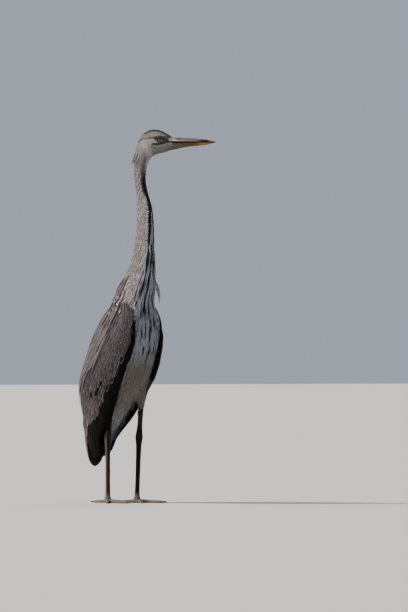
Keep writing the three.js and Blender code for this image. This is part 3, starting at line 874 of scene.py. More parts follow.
def dressCoat(tract, paint, replaced=()):  # the tract's vanes as one mesh
    groups, offset = [], 0
    for vanes in coatPieces.pop(tract):
        number, size = vanes["corners"].shape[:2]
        loops = vanes["loops"] + offset + size * np.arange(number)[:, None]
        groups.append((
            vanes["corners"].reshape(-1, 3), loops.ravel(), np.tile(vanes["sizes"], number),
            vanes["tint"].reshape(-1, 3), vanes["patch"].reshape(-1, 2),
            np.tile(vanes["vane"][vanes["loops"]], (number, 1))))
        offset += number * size
    corners, loops, sizes, tint, patch, vane = map(np.concatenate, zip(*groups))
    mesh = bpy.data.meshes.new(tract)
    mesh.vertices.add(len(corners))
    setPoints(mesh, corners)
    mesh.loops.add(len(loops))
    mesh.loops.foreach_set("vertex_index", loops.astype(np.int32))
    mesh.polygons.add(len(sizes))
    mesh.polygons.foreach_set("loop_start", (np.cumsum(sizes) - sizes).astype(np.int32))
    mesh.update(calc_edges=True)
    for name, flat in (("OFBake", patch), ("vane", vane)):
        mesh.uv_layers.new(name=name).uv.foreach_set("vector", flat.ravel().astype(np.float32))
    paintPoints(mesh, np.clip(tint, 0, 1))
    mesh.polygons.foreach_set("use_smooth", np.ones(len(sizes), bool))
    mesh.materials.append(paint)
    piece = putInScene(tract, mesh)
    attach(piece, "root")
    if replaced:
        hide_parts(*replaced)
    print(tract, "grown")


def varied(tint, spread, seed):
    shift = seed.normal(1, spread, (len(tint), 1)) * seed.normal(1, spread * 0.25, (len(tint), 3))
    shift = shift if tint.ndim == 2 else shift[:, None, :]
    return tint * np.clip(shift, 0.6, 1.45)


def scatter(allowed, spacing, seed):  # roots over the skin's faces, no two closer than the spacing there
    corners, faces = hide["corners"], hide["faces"]
    a, b, c = (corners[faces[:, k]] for k in range(3))
    area = np.linalg.norm(np.cross(b - a, c - a), axis=1) / 2
    gap = np.broadcast_to(spacing(middles) * mm, len(faces))
    picked = np.repeat(np.arange(len(faces)), seed.poisson(np.where(allowed, area / gap ** 2 * 2.6, 0)))
    seed.shuffle(picked)
    u, v = seed.random((2, len(picked), 1))
    flip = u + v > 1
    u, v = np.where(flip, 1 - u, u), np.where(flip, 1 - v, v)
    spots = a[picked] + (b - a)[picked] * u + (c - a)[picked] * v
    reach = gap[picked] * 0.86
    cells = np.floor(spots / float(reach.max())).astype(int).tolist()
    around = [(x, y, z) for x in (-1, 0, 1) for y in (-1, 0, 1) for z in (-1, 0, 1)]
    limits = (reach ** 2).tolist()
    grid, kept = {}, []
    for index, ((cx, cy, cz), (px, py, pz), limit) in enumerate(zip(cells, spots.tolist(), limits)):
        others = (other for dx, dy, dz in around for other in grid.get((cx + dx, cy + dy, cz + dz), ()))
        if all((px - qx) ** 2 + (py - qy) ** 2 + (pz - qz) ** 2 >= limit for qx, qy, qz in others):
            grid.setdefault((cx, cy, cz), []).append((px, py, pz))
            kept.append(index)
    return spots[kept], picked[kept]


quick = 1.0
middles = hide["corners"][hide["faces"]].mean(1)
middleRow = line["row"][placeOnLine(middles)[0]]
middleHeight = middles[:, 2] / mm
eyeCentres = {side: middleOf(f"eye_{side}") for side in sides}


wingLook = {  # heights in mm, and shares from the front edge to the back
    "lead": [(168, 0.05), (230, 0.06), (320, 0.045), (400, 0.01), (462, 0.0)],
    "farLead": [(168, 0.03), (230, 0.02), (290, -0.04), (420, -0.04), (462, 0)],
    "blackEdge": [(89, 1.1), (112, 0.56), (150, 0.36), (185, 0.36), (198, 0.41), (215, 0.31), (233, 0.24),
                  (262, 0.18),
                  (284, 0.14), (300, 0.1), (378, 0.075), (441, 0.05), (462, 0.02), (475, 0.0)],
    "scapularEdge": [(150, 1.3), (200, 1.0), (270, 0.6), (300, 0.48), (341, 0.45), (403, 0.5), (441, 0.45),
                     (503, 0.36)],
    "spots": [(299, 0.26), (283, 0.29), (275, 0.31), (270, 0.385)],
    # greater, median and lesser: top, bottom, pitch, spacing, length, half width, height, pale edge
    "coverts": [
        (348, 242, 12, 6.0, 56, 4.8, 1.9, 0.6), (425, 326, 10, 5.0, 44, 3.9, 2.1, 0.5),
        (506, 400, 7, 4.4, 30, 3.1, 2.3, 0.4)],
}


def tableAt(name, levels):
    return np.interp(levels, *zip(*wingLook[name]))


coatMake = {  # spacing and length in mm by row of the body line, half width against length, tip heights in mm
    "headCoat": {"rows": [0, 1.5, 3, 5, 7], "gap": [0.95, 1.05, 1.25, 1.5, 1.65],
                 "long": [3.0, 4.8, 7, 9.5, 11.5], "slim": 0.092, "tips": (0.5, 1.0), "shape": "down",
                 "thick": 0.1, "vary": 0.05},
    "neckCoat": {"rows": [6, 9, 13, 15.5], "gap": [1.75, 1.9, 2.25, 2.7], "long": [15, 19, 26, 32],
                 "slim": 0.066, "tips": (0.9, 1.9), "shape": "plume", "thick": 0.12, "vary": 0.06},
    "bodyCoat": {"rows": [15, 17, 21, 23, 25], "gap": [2.8, 3.3, 3.6, 3.4, 3.2], "long": [30, 38, 40, 32, 20],
                 "slim": 0.072, "tips": (2.0, 4.0), "shape": "plume", "thick": 0.15, "vary": 0.05},
}


def growCoat(tract, allowed, seed, tintFrom=2):
    make = coatMake[tract]
    along = lambda at, key: np.interp(line["row"][placeOnLine(at)[0]], make["rows"], make[key])
    roots, faces = scatter(allowed, lambda at: along(at, "gap") * quick, seed)
    number = len(roots)
    lengths = along(roots, "long") * seed.uniform(0.8, 1.25, number)
    places, normals = followLie(make["shape"], roots, faces, lengths, seed.normal(0, 0.1, number))
    if tract == "bodyCoat":
        clear = clearOfWings(places)
        places, normals, lengths, number = places[clear], normals[clear], lengths[clear], clear.sum()
    tint = varied(markings(places) * 0.6 + markings(places[:, tintFrom])[:, None] * 0.4, make["vary"], seed)
    growVanes(tract, make["shape"], (places, normals), tint=tint,
              width=lengths * make["slim"] * seed.uniform(0.85, 1.2, number),
              height=(-0.25, seed.uniform(*make["tips"], number)), fringe=1.06, edge=0.4, camber=0.3,
              thick=make["thick"], keel=False, roll=seed.normal(0, 0.1, number))


def smallCoat():
    seed = np.random.default_rng(3)
    clearOfEyes = np.ones(len(middles), bool)
    for centre in eyeCentres.values():
        clearOfEyes &= np.linalg.norm(middles - centre, axis=1) > 9.4 * mm
    growCoat("headCoat", isPart("head") & clearOfEyes & (middleRow > 0.12), seed, 1)
    growCoat("neckCoat", isPart("neck", "trunk") & (middleRow > 5.5) & (middleRow < 15.5), seed)
    share, gap = hide["wingShare"][hide["faces"][:, 0]], hide["wingGap"][hide["faces"][:, 0]]
    covered = (gap < 10 * mm) & (share > tableAt("lead", middleHeight) + 0.04)
    growCoat("bodyCoat", isPart("trunk", "tail") & ~covered & (middleRow >= 15.3), seed)
    roots, faces = scatter(isPart("thigh", "tibia") & (middleHeight > 236), lambda at: 2.2 * quick, seed)
    number = len(roots)
    lengths = np.interp(roots[:, 2] / mm, [235, 260, 320], [7, 14, 22]) * seed.uniform(0.85, 1.2, number)
    growOnSkin("bodyCoat", "plume", roots, faces, lengths, seed.normal(0, 0.12, number),
               tint=varied(plain("thigh", number), 0.06, seed), width=lengths * 0.085,
               height=(-0.3, seed.uniform(1.4, 3.0, number)), fringe=1.1, thick=0.12, camber=0.3, keel=False,
               roll=seed.normal(0, 0.14, number))


smallCoat()
dressCoat("headCoat", finePaint)
dressCoat("neckCoat", finePaint)
dressCoat("bodyCoat", softPaint)

# wings: coverts, flight feathers and scapulars laid on the folded wing

hang = 0.93  # how far down the wing a feather reaches, against its length


def readyWing(wing):  # drawn in to the skin and smoothed
    sheet = wing["sheet"]
    wing["arc"] = np.linalg.norm(np.diff(sheet, axis=1), axis=2).sum(1) / mm
    flat = sheet.reshape(-1, 3)
    gap = ((flat - ontoSkin(flat)[0]) * wing["normals"].reshape(-1, 3)).sum(1).reshape(sheet.shape[:2])
    gap = np.clip(gap, 0.4 * mm, 3.3 * mm)
    aroundSum = lambda n: n[1:-1, 1:-1] + n[:-2, 1:-1] + n[2:, 1:-1] + n[1:-1, :-2] + n[1:-1, 2:]
    for _ in range(3):
        gap[1:-1, 1:-1] = aroundSum(gap) / 5
    wing["sheet"] = sheet - wing["normals"] * gap[..., None]
    for _ in range(4):
        wing["normals"][1:-1, 1:-1] = unit(aroundSum(wing["normals"]))


for wing in wings.values():
    readyWing(wing)


def growOnWing(tract, shape, wing, levels, shares, lengths, drift, **looks):
    stations = stationsOf(shape)
    level = levels[:, None] - lengths[:, None] * stations * hang
    share = shares[:, None] + np.broadcast_to(drift, len(levels))[:, None] * stations
    growVanes(tract, shape, onWing(wing, level, share), **looks)


def rowsOnWing(wing, top, bottom, pitch, spacing, seed, slope=0.0, first=0.0, last=lambda level: 1.0):
    levels, shares = [], []
    for index, level in enumerate(np.arange(top, bottom, -pitch)):
        width = last(level) - first
        number = max(1, int(round(np.interp(level, wing["levels"], wing["arc"]) * width / spacing)))
        steps = np.arange(number) + 0.25 + 0.5 * (index % 2) + seed.normal(0, 0.14, number)
        share = first + width * steps / number
        levels.append(level + slope * (share - 0.5) + seed.normal(0, pitch * 0.12, number))
        shares.append(share)
    return np.concatenate(levels), np.clip(np.concatenate(shares), -0.08, 1)


def covertToneAndShade(levels, shares, seed):
    return layAll(plain("covert", len(levels)), [
        # painted shade: a broad dark patch over the front of the folded wing, which turns away from the light
        (spot(shares, levels, 0.16, 340, 0.22, 70) * 0.8, "covertDark"),
        (between(levels, 260, 200) * 0.7, "covertDark"),
        (between(levels, 410, 480) * 0.6, "mantle"),
        # painted shadow: a dark strip just in front of the scapulars' lower edge
        (between(tableAt("scapularEdge", levels - 20) - shares, 0.11, 0.03) * 0.75, "covertDark"),
        # painted shade: darker towards the wing's front edge
        (between(shares, 0.45, 0.12) * 0.7, "covertDark"),
        ((seed.random(len(levels)) < 0.1) * 0.4, "covertDark"),
    ])


def dressWing(wing, tract, seed):
    # long black feathers of the wing's tip and lower edge
    number = 14
    k = np.linspace(0, 1, number)
    levels = 352 - 70 * k
    tips = np.interp(k, [0, 0.15, 0.4, 0.62, 0.8, 1], [122, 112, 99, 89, 93, 103])
    drift = np.interp(k, [0, 0.15, 0.5, 1], [-0.03, -0.02, 0.08, 0.36])
    growOnWing(tract, "primary", wing, levels, 0.5 * k, (levels - tips) / hang, drift, across=4,
               width=8 + 3 * k, height=(0.1, 0.4 + 0.9 * k), root=1, camber=0.05, thick=0.25,
               tint=varied(plain("black", number), 0.1, seed))
    levels, shares = rowsOnWing(wing, 462, 168, 13, 11, seed, first=-0.012,
                                last=lambda level: float(tableAt("blackEdge", level - 40)) + 0.03)
    inset = tableAt("lead" if wing["side"] < 0 else "farLead", levels)
    shares = inset + shares * (1 - inset)
    number = len(levels)
    lengths = np.interp(levels, [168, 240, 462], [62, 78, 48]) * seed.uniform(0.9, 1.1, number)
    drift = np.where(levels < 215, -0.05, -0.012) * (shares < 0.2)
    growOnWing(tract, "flight", wing, levels, shares, lengths, drift, across=4, root=1, camber=0.08,
               thick=0.25, width=np.interp(levels, [200, 300, 462], [7, 6.0, 4]),
               height=(0.2, seed.uniform(1.2, 1.9, number)),
               tint=varied(plain("black", number), 0.15, seed))
    if wing["side"] > 0:  # the far wing's front edge, broken by narrow pale-edged feathers
        number = 24
        levels = np.linspace(442, 292, number) + seed.normal(0, 3, number)
        lengths = seed.uniform(30, 46, number)
        growOnWing(tract, "lance", wing, levels, seed.normal(-0.012, 0.006, number), lengths, 0, across=4,
                   width=seed.uniform(1.8, 2.6, number), height=(0.8, seed.uniform(2.2, 3.0, number)),
                   tint=plain("covertDark", number), fringe=plain("fringe", number), edge=0.4, thick=0.25)
    # tertials: long and grey, over the black feathers at the back
    number = 11
    k = np.linspace(0, 1, number)
    levels = 300 - 30 * k
    tips = np.interp(k, [0, 0.15, 0.4, 0.7, 1], [190, 150, 118, 112, 115])
    growOnWing(tract, "flight", wing, levels, 0.44 + 0.52 * k, (levels - tips) / hang, 0.03 - 0.05 * k,
               across=6, width=8.5, height=(0.5, 1.8 + 0.8 * k),
               tint=varied(plain("tertial", number), 0.08, seed),
               fringe=plain("fringe", number), edge=0.75, camber=0.08, thick=0.25)
    for top, bottom, pitch, spacing, length, half, high, edge in wingLook["coverts"]:
        levels, shares = rowsOnWing(wing, top, bottom, pitch, spacing, seed, slope=-14)
        lengths = length * seed.uniform(0.88, 1.14, len(levels))
        kept = shares > tableAt("blackEdge", levels - length * 0.6) - 0.004
        kept &= (levels < 497) | (shares > 0.15)
        levels, shares, lengths = levels[kept], shares[kept], lengths[kept]
        number = len(levels)
        growOnWing(tract, "covert", wing, levels, shares, lengths, seed.normal(0.0, 0.01, number), across=4,
                   tint=varied(covertToneAndShade(levels, shares, seed), 0.15, seed),
                   width=half * seed.uniform(0.85, 1.15, number),
                   height=(-0.2, high * seed.uniform(0.85, 1.1, number)),
                   fringe=varied(plain("fringe", number), 0.08, seed), edge=edge, tipEdge=0.2, camber=0.12,
                   thick=0.2, roll=seed.normal(0, 0.04, number))
    # a few dark spots where dark bases show
    levels, shares = columnsOf(wingLook["spots"])
    growOnWing(tract, "covert", wing, levels + 6, shares, np.full(4, 13.0), 0, width=3.4, height=(2.2, 3.2),
               tint=plain("black", 4), root=1, thick=0.2)
    # scapulars: long narrow plumes hanging over the top and back of the wing
    levels, shares = rowsOnWing(wing, 500, 262, 9, 7.5, seed, slope=10, first=0.34)
    lengths = np.interp(levels, [260, 400, 498], [105, 95, 58]) * seed.uniform(0.85, 1.12, len(levels))
    kept = shares > tableAt("scapularEdge", levels - lengths * 0.9) + 0.01
    levels, shares, lengths = levels[kept], shares[kept], lengths[kept]
    number = len(levels)
    growOnWing(tract, "lance", wing, levels, shares, lengths, seed.normal(-0.01, 0.018, number), across=4,
               tint=varied(plain("scapular", number), 0.1, seed), width=seed.uniform(3.6, 4.8, number),
               height=(0.4, seed.uniform(3.6, 6.0, number)),
               fringe=varied(plain("fringe", number), 0.08, seed), edge=0.55, thick=0.2,
               roll=seed.normal(0, 0.07, number))


for name, wing in wings.items():
    dressWing(wing, f"{name}WingCoat", np.random.default_rng(21 if name == "right" else 22))
    dressCoat(f"{name}WingCoat", flightPaint)


def longCoat():
    seed = np.random.default_rng(5)
    # mantle plumes down the middle of the back
    turned = np.abs(placeOnLine(middles)[1])
    allowed = isPart("trunk", "neck") & (turned > 100) & (middleHeight < 575) & (middleHeight > 250)
    roots, faces = scatter(allowed, lambda at: 7.5, seed)
    number = len(roots)
    lengths = np.interp(roots[:, 2] / mm, [250, 420, 575], [95, 90, 45]) * seed.uniform(0.85, 1.12, number)
    growOnSkin("backCoat", "lance", roots, faces, lengths, seed.normal(0, 0.06, number),
               tint=varied(plain("mantle", number), 0.09, seed), width=seed.uniform(3.8, 5.0, number),
               height=(0.2, seed.uniform(3.0, 5.0, number)), fringe=1.15, camber=0.2, thick=0.22,
               roll=seed.normal(0, 0.1, number))
    # long plumes of the lower foreneck, hanging over the breast
    allowed = isPart("trunk", "neck") & (turned < 58) & (middleHeight < 650) & (middleHeight > 505)
    roots, faces = scatter(allowed, lambda at: 4.2, seed)
    number = len(roots)
    lengths = np.interp(roots[:, 2] / mm, [505, 560, 650], [70, 56, 32]) * seed.uniform(0.8, 1.15, number)
    places, normals = followLie("lance", roots, faces, lengths, seed.normal(0, 0.05, number))
    clear = clearOfWings(places)
    places, normals, number = places[clear], normals[clear], clear.sum()
    tint = varied(markings(places) * 0.6 + markings(places[:, 3:4]) * 0.4, 0.06, seed)
    growVanes("breastPlumes", "lance", (places, normals), tint=tint, width=seed.uniform(1.3, 2.0, number),
              height=(0.2, seed.uniform(2.4, 4.6, number)), fringe=1.1, edge=0.4, camber=0.3, keel=False,
              thick=0.18, roll=seed.normal(0, 0.1, number))
    # the loose plume that stands off the neck
    low, high = boxOf("neck_plume")
    number = 9
    stations = stationsOf("lance")[:, None]
    root = np.array([low[0] + 1.5 * mm, (low[1] + high[1]) / 2 - 3 * mm, high[2] - 2 * mm])
    tip = np.array([high[0] - 1.5 * mm, high[1] - 3 * mm, low[2] + 2 * mm])
    bulge = np.array([3.5, 0.5, 2.0]) * mm
    shift = seed.normal(0, 1.1 * mm, (number, 1, 3)) * np.array([1, 1.3, 4])
    places = root + (tip - root) * stations + bulge * np.sin(np.pi * stations) + shift
    side = unit(np.full(places.shape, [0.3, -1, 0.15]) + seed.normal(0, 0.3, (number, 1, 3)))
    growVanes("loosePlume", "lance", (places, side), tint=varied(plain("foreNeck", number), 0.08, seed),
              width=2.0, height=(0, 0), fringe=1.1, edge=0.4, camber=0.1, thick=0.3)
    # tail feathers
    number = 12
    fan = np.linspace(-1, 1, number)[:, None]
    heights = 192 - 82 * stationsOf("flight")
    order = np.minimum(np.searchsorted(-line["centre"][:, 2], -heights * mm), bodyLine["samples"] - 1)
    centre, depth, width = line["centre"][order], line["depth"][order], line["width"][order]
    ones = np.ones((number, len(heights)))
    places = np.stack([centre[:, 0] - depth * 0.78 - (1 - np.abs(fan)) * 0.5 * mm,
                       centre[:, 1] + fan * width * 0.82, centre[:, 2] * ones], 2)
    normals = unit(np.stack([-ones, 0.35 * fan * ones, 0 * ones], 2))
    growVanes("tailCoat", "flight", (places, normals), tint=varied(plain("tail", number), 0.06, seed),
              across=4, width=7.5, height=(0, 2.2 - 1.4 * np.abs(fan[:, 0])), fringe=1.3, edge=0.3,
              camber=0.05, thick=0.25)


def rootsAt(angle, height):  # where lines at these angles and heights meet the skin
    found = []
    for turn, level in zip(np.radians(angle), height):
        step = np.argmin(np.abs(line["centre"][:, 2] - level * mm))
        centre = line["centre"][step]
        way = unit(math.cos(turn) * line["throat"][step] * line["depth"][step]
                   + math.sin(turn) * line["left"][step] * line["width"][step])
        hit = hide["tree"].ray_cast(Vector(centre + way * 0.16), Vector(-way))
        found.append(hit[0] if hit[0] is not None else centre)
    return ontoSkin(np.array(found))


# shoulder feathers: number, heights, angles, length and half width in mm, and how white the tip is
accentMake = [
    (13, (486, 530), (68, 112), 20, 2.3, 0.6), (6, (466, 506), (34, 48), 27, 4.0, 0.15)]


def accents():
    seed = np.random.default_rng(8)
    for sign in (-1, 1):
        # a beaded row of small pale and dark feathers down each side of the neck
        height = np.repeat(np.arange(745, 506, -4.4), 2)
        number = len(height)
        height = height + seed.normal(0, 1.2, number)
        lean = np.interp(height, *zip(*throatLean))
        angle = np.interp(height, *zip(*beadLine[::-1])) * sign - lean + seed.normal(0, 4.5, number)
        yaw = seed.normal(0, 0.12, number)
        tint = lay(plain("neckDark", number), seed.random(number) < 0.5, "foreNeck")
        growOnSkin("accentCoat", "covert", *rootsAt(angle, height), 8.5, yaw, tint=tint, width=1.35,
                   height=(0.5, seed.uniform(1.6, 2.4, number)), tip=lay(tint, np.full(number, 0.8), "brow"),
                   tipSpan=(0.6, 0.8), camber=0.25, thick=0.14)
        # dark feathers with white tips over the shoulder, and a few larger white-rimmed ones before the wing
        for number, heights, angles, length, half, show in accentMake:
            height = np.linspace(*heights, number) + seed.normal(0, 3, number)
            angle = seed.uniform(*angles, number) * sign
            yaw = seed.normal(0, 0.2, number)
            white = plain("shoulderWhite", number)
            growOnSkin("accentCoat", "covert", *rootsAt(angle, height), length, yaw, across=6,
                       tint=lay(plain("covertDark", number), seed.random(number) * 0.5, "streak"),
                       width=half * seed.uniform(0.85, 1.15, number),
                       height=(1.0, seed.uniform(4.2, 5.2, number)), tip=white, tipSpan=(0.55, 0.85),
                       tipShow=show, fringe=white, edge=0.95, root=0.9,
                       camber=0.18, thick=0.2)
    # a small tuft standing off the nape
    number = 76
    angle, height = seed.normal(180, 30, number), seed.uniform(852, 872, number)
    growOnSkin("accentCoat", "down", *rootsAt(angle, height), 20, seed.normal(0, 0.1, number),
               tint=varied(plain("nape", number), 0.08, seed), width=1.4, rise=1.7,
               height=(0.2, np.interp(height, [852, 872], [15, 5]) * seed.uniform(0.6, 1.1, number)),
               fringe=1.15, camber=0.3, keel=False, thick=0.12)


longCoat()
accents()
dressCoat("accentCoat", softPaint)
dressCoat("backCoat", softPaint)
dressCoat("breastPlumes", finePaint)
dressCoat("loosePlume", finePaint, ["neck_plume"])
dressCoat("tailCoat", flightPaint)

# the skin's colours, with scales on the legs

def legTonesAndShade(corners, normals):  # painted light and shade: lighter on the outer and back sides, dark inside and in front
    height = corners[:, 2] / mm
    outward = normals[:, 1] * np.sign(corners[:, 1]) * 0.75 - normals[:, 0] * 0.65
    leg = layAll(plain("legLitSide", len(corners)), [
        (between(outward, 0.7, 0.0), "legShadedSide"), (between(height, 178, 192) * 0.6, "tibia"),
        (np.exp(-((height - 167) / 11) ** 2) * 0.7, "ankle")])
    # painted shadow: the far leg is darkened below the ankle as if it lay in the body's shadow, and made
    # lighter above it
    leg = leg * np.where(corners[:, 1] > 0, np.interp(height, [150, 190], [0.42, 1.3]), 1.05)[:, None]
    return lay(leg, between(height, 30, 14) * 0.8, "toe")


def paintSkin(piece):
    mesh = piece.data
    corners = pointsOf(mesh)
    height = corners[:, 2] / mm
    tint = markings(corners) * 0.8
    own = isPart("wing", of="cornerPart")
    share, gap = hide["wingShare"][own], hide["wingGap"][own]
    shell = lay(plain("covertDark", own.sum()), share < tableAt("blackEdge", height[own]) + 0.03, "black")
    # painted shade: near black on the wing's inner face, where it stands off the body, and on its front lip
    tint[own] = lay(shell, (gap > 4.5 * mm) | (share < 0.01), "wingGapShade")
    tint[isPart("thigh", of="cornerPart")] = tones["thigh"] * 0.8
    bare = isPart("leg", "tibia", of="cornerPart") & (height < 246)
    tint[bare] = legTonesAndShade(corners, normalsOf(mesh))[bare]
    paintPoints(mesh, tint)
    firstCorners = readAll(mesh.loops, "vertex_index")[readAll(mesh.polygons, "loop_start")]
    mesh.polygons.foreach_set("material_index", bare[firstCorners].astype(np.int32))
    mesh.polygons.foreach_set("use_smooth", np.ones(len(mesh.polygons), bool))


paintSkin(skin)
skin.data.materials.append(skinPaint())
skin.data.materials.append(legPaint())
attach(skin, "root")
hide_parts(*fleshNodes, *bareNodes)
print("skin painted")

# broad scales down the front of the legs and along the toes

scaleMake = {"leg": 3.3, "toe": 2.7, "halfLeg": 3.6, "halfToe": 2.4}


def scaleRow(starts, way, reach, spacing, half):  # plates laid where lines from the starts meet the leg
    places, normals = [], []
    for start in np.array(starts):
        hits = [hide["tree"].ray_cast(Vector(start + way * share * spacing * 1.5 * mm), Vector(reach))
                for share in stationsOf("scale")]
        row = [hit[0] for hit in hits]
        if None not in row and np.ptp([place @ Vector(reach) for place in row]) < 3 * mm:
            places.append([list(place) for place in row])
            normals.append([list(hit[1]) for hit in hits])
    places, normals = np.array(places), unit(np.array(normals))
    tint = varied(legTonesAndShade(places[:, 2], normals[:, 2]) * 1.12, 0.07, np.random.default_rng(17))
    growVanes("legScales", "scale", (places, normals), tint=tint, across=6, width=half, height=(-0.15, 0.42),
              fringe=0.7, camber=half * 0.1, thick=0.3)


def makeScales():
    corners = pointsOf(skin.data)
    for side, sign in zip(sides, (1, -1)):
        own = corners[isPart("leg", of="cornerPart") & (np.sign(corners[:, 1]) == sign)]
        starts = []
        for level in np.arange(158, 16, -scaleMake["leg"]):
            ring = own[np.abs(own[:, 2] / mm - level) < 2]
            starts.append([ring[:, 0].max() + 0.02, ring[:, 1].mean(), level * mm])
        scaleRow(starts, np.array([0, 0, -1.0]), (-1, 0, 0), scaleMake["leg"], scaleMake["halfLeg"])
        foot = middleOf(f"foot_{side}")[:2]
        for toe in toeNames:
            away = pointsOf(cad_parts[f"toe_{side}_{toe}"].data)[:, :2] - foot
            end = away[np.argmax(np.linalg.norm(away, axis=1))]
            way = unit(end)
            aside = np.array([-way[1], way[0]])
            starts = []
            for run in np.arange(13, np.linalg.norm(end) / mm - 3, scaleMake["toe"]):
                at = foot + way * run * mm
                across = away[np.abs((away @ way) / mm - run) < 5] @ aside
                if len(across):
                    at = at + aside * (across.max() + across.min()) / 2
                starts.append([*at, 0.035])
            scaleRow(starts, np.array([*way, 0]), (0, 0, -1), scaleMake["toe"], scaleMake["halfToe"])


makeScales()
dressCoat("legScales", hornPaint("legPlates", 420, 0.6))

# bill

billMake = {
    "gape": 901, "sides": 20, "close": 1.018, "fewest": 1000, "sections": [  # reach, top, bottom, half width
        (76, 914.0, 880.6, 10.6), (82.8, 913.6, 881.8, 10.2), (94, 913.2, 884.2, 9.3),
        (106, 912.6, 886.4, 8.4), (120, 911.9, 889.4, 7.4), (134, 911.2, 890.9, 6.4),
        (146, 910.2, 891.7, 5.6), (156, 909.2, 892.7, 4.9), (166, 907.8, 894.0, 4.1),
        (174, 905.8, 895.7, 3.3), (183, 903.4, 898.2, 2.0), (190, 901.6, 900.2, 0.8)],
    "nostril": {"reach": 97, "height": 908, "long": 5.6, "tall": 1.0, "deep": 2.4, "aside": 8.2},
    # how full each half is, from the gape to its edge
    "upperSide": [(0, 0.93), (0.12, 1.0), (0.45, 0.86), (0.8, 0.5), (0.95, 0.25), (1, 0)],
    "lowerSide": [(0, 0.9), (0.12, 0.94), (0.5, 0.8), (0.85, 0.42), (1, 0)],
}
billReach, *billEdges, billHalf = columnsOf(billMake["sections"])


def sweepBill(name, upper):
    gape = billMake["gape"]
    sign, edges = (1, billEdges[0]) if upper else (-1, billEdges[1])
    talls = sign * (edges - gape) / 2
    bpy.ops.mesh.primitive_circle_add(vertices=billMake["sides"], radius=1 * mm, fill_type="NGON",
                                      location=(0, 0, 0), rotation=(0, math.radians(90), 0))
    piece = bpy.context.object
    piece.name = name
    settle(piece)
    bpy.ops.object.mode_set(mode="EDIT")
    bpy.ops.mesh.select_all(action="SELECT")
    bpy.ops.transform.translate(value=(billReach[0] * mm, 0, (gape + sign * talls[0]) * mm))
    bpy.ops.transform.resize(value=(1, billHalf[0], talls[0]))
    for k in range(1, len(talls)):
        step = ((billReach[k] - billReach[k - 1]) * mm, 0, sign * (talls[k] - talls[k - 1]) * mm)
        bpy.ops.mesh.extrude_region_move(TRANSFORM_OT_translate={"value": step})
        bpy.ops.transform.resize(value=(1, billHalf[k] / billHalf[k - 1], talls[k] / talls[k - 1]))
    bpy.ops.mesh.select_all(action="SELECT")
    bpy.ops.mesh.normals_make_consistent(inside=False)
    bpy.ops.object.mode_set(mode="OBJECT")
    addModifier(piece, "SUBSURF", levels=3, render_levels=3)
    x, y, z = (pointsOf(piece.data) / mm).T
    edge, half = np.interp(x, billReach, edges), np.interp(x, billReach, billHalf)
    middle = (edge + gape) / 2
    z = middle + (z - middle) * billMake["close"]  # so that the two halves meet
    share = np.clip(sign * (z - gape) / np.maximum(sign * (edge - gape), 0.1), 0, 1)
    want = half * np.interp(share, *zip(*billMake["upperSide" if upper else "lowerSide"]))
    y = np.where(np.abs(y) < want * 0.4, y, np.sign(y) * np.minimum(np.abs(y) * 1.2, want))
    nose = billMake["nostril"]
    if upper:
        groove = spot(z, x, nose["height"], 118, 1.1, 26) * (np.abs(y) > half * 0.35)
        y = y - np.sign(y) * groove * 0.5
    setPoints(piece.data, np.stack([x, y, z], 1) * mm)
    for side in (-1, 1) if upper else ():
        bpy.ops.mesh.primitive_uv_sphere_add(segments=24, ring_count=16, radius=1 * mm)
        cutter = bpy.context.object
        cutter.scale = (nose["long"], nose["deep"], nose["tall"])
        cutter.location = (nose["reach"] * mm, side * nose["aside"] * mm, nose["height"] * mm)
        settle(cutter)
        addModifier(piece, "BOOLEAN", operation="DIFFERENCE", object=cutter, solver="EXACT")
        bpy.data.objects.remove(cutter)
    piece.rotation_euler = (0, 0, headTurn)
    piece.location = Vector(neckFoot)
    settle(piece)
    return piece


billTones = {
    "top": "80808e", "upper": "85787f", "cream": "e6d7ae", "olive": "a38b62", "orange": "a9671e",
    # under: the lower half's colour darkened as painted shade; edge: a painted shade along its bottom
    "dark": "2a2d3a", "under": "52400f", "base": "5b5444", "edge": "38260f", "nostril": "160f16",
    "tip": "33281e", "mouth": "1d140d",
}
tones.update({name + "Bill": colour(code) for name, code in billTones.items()})


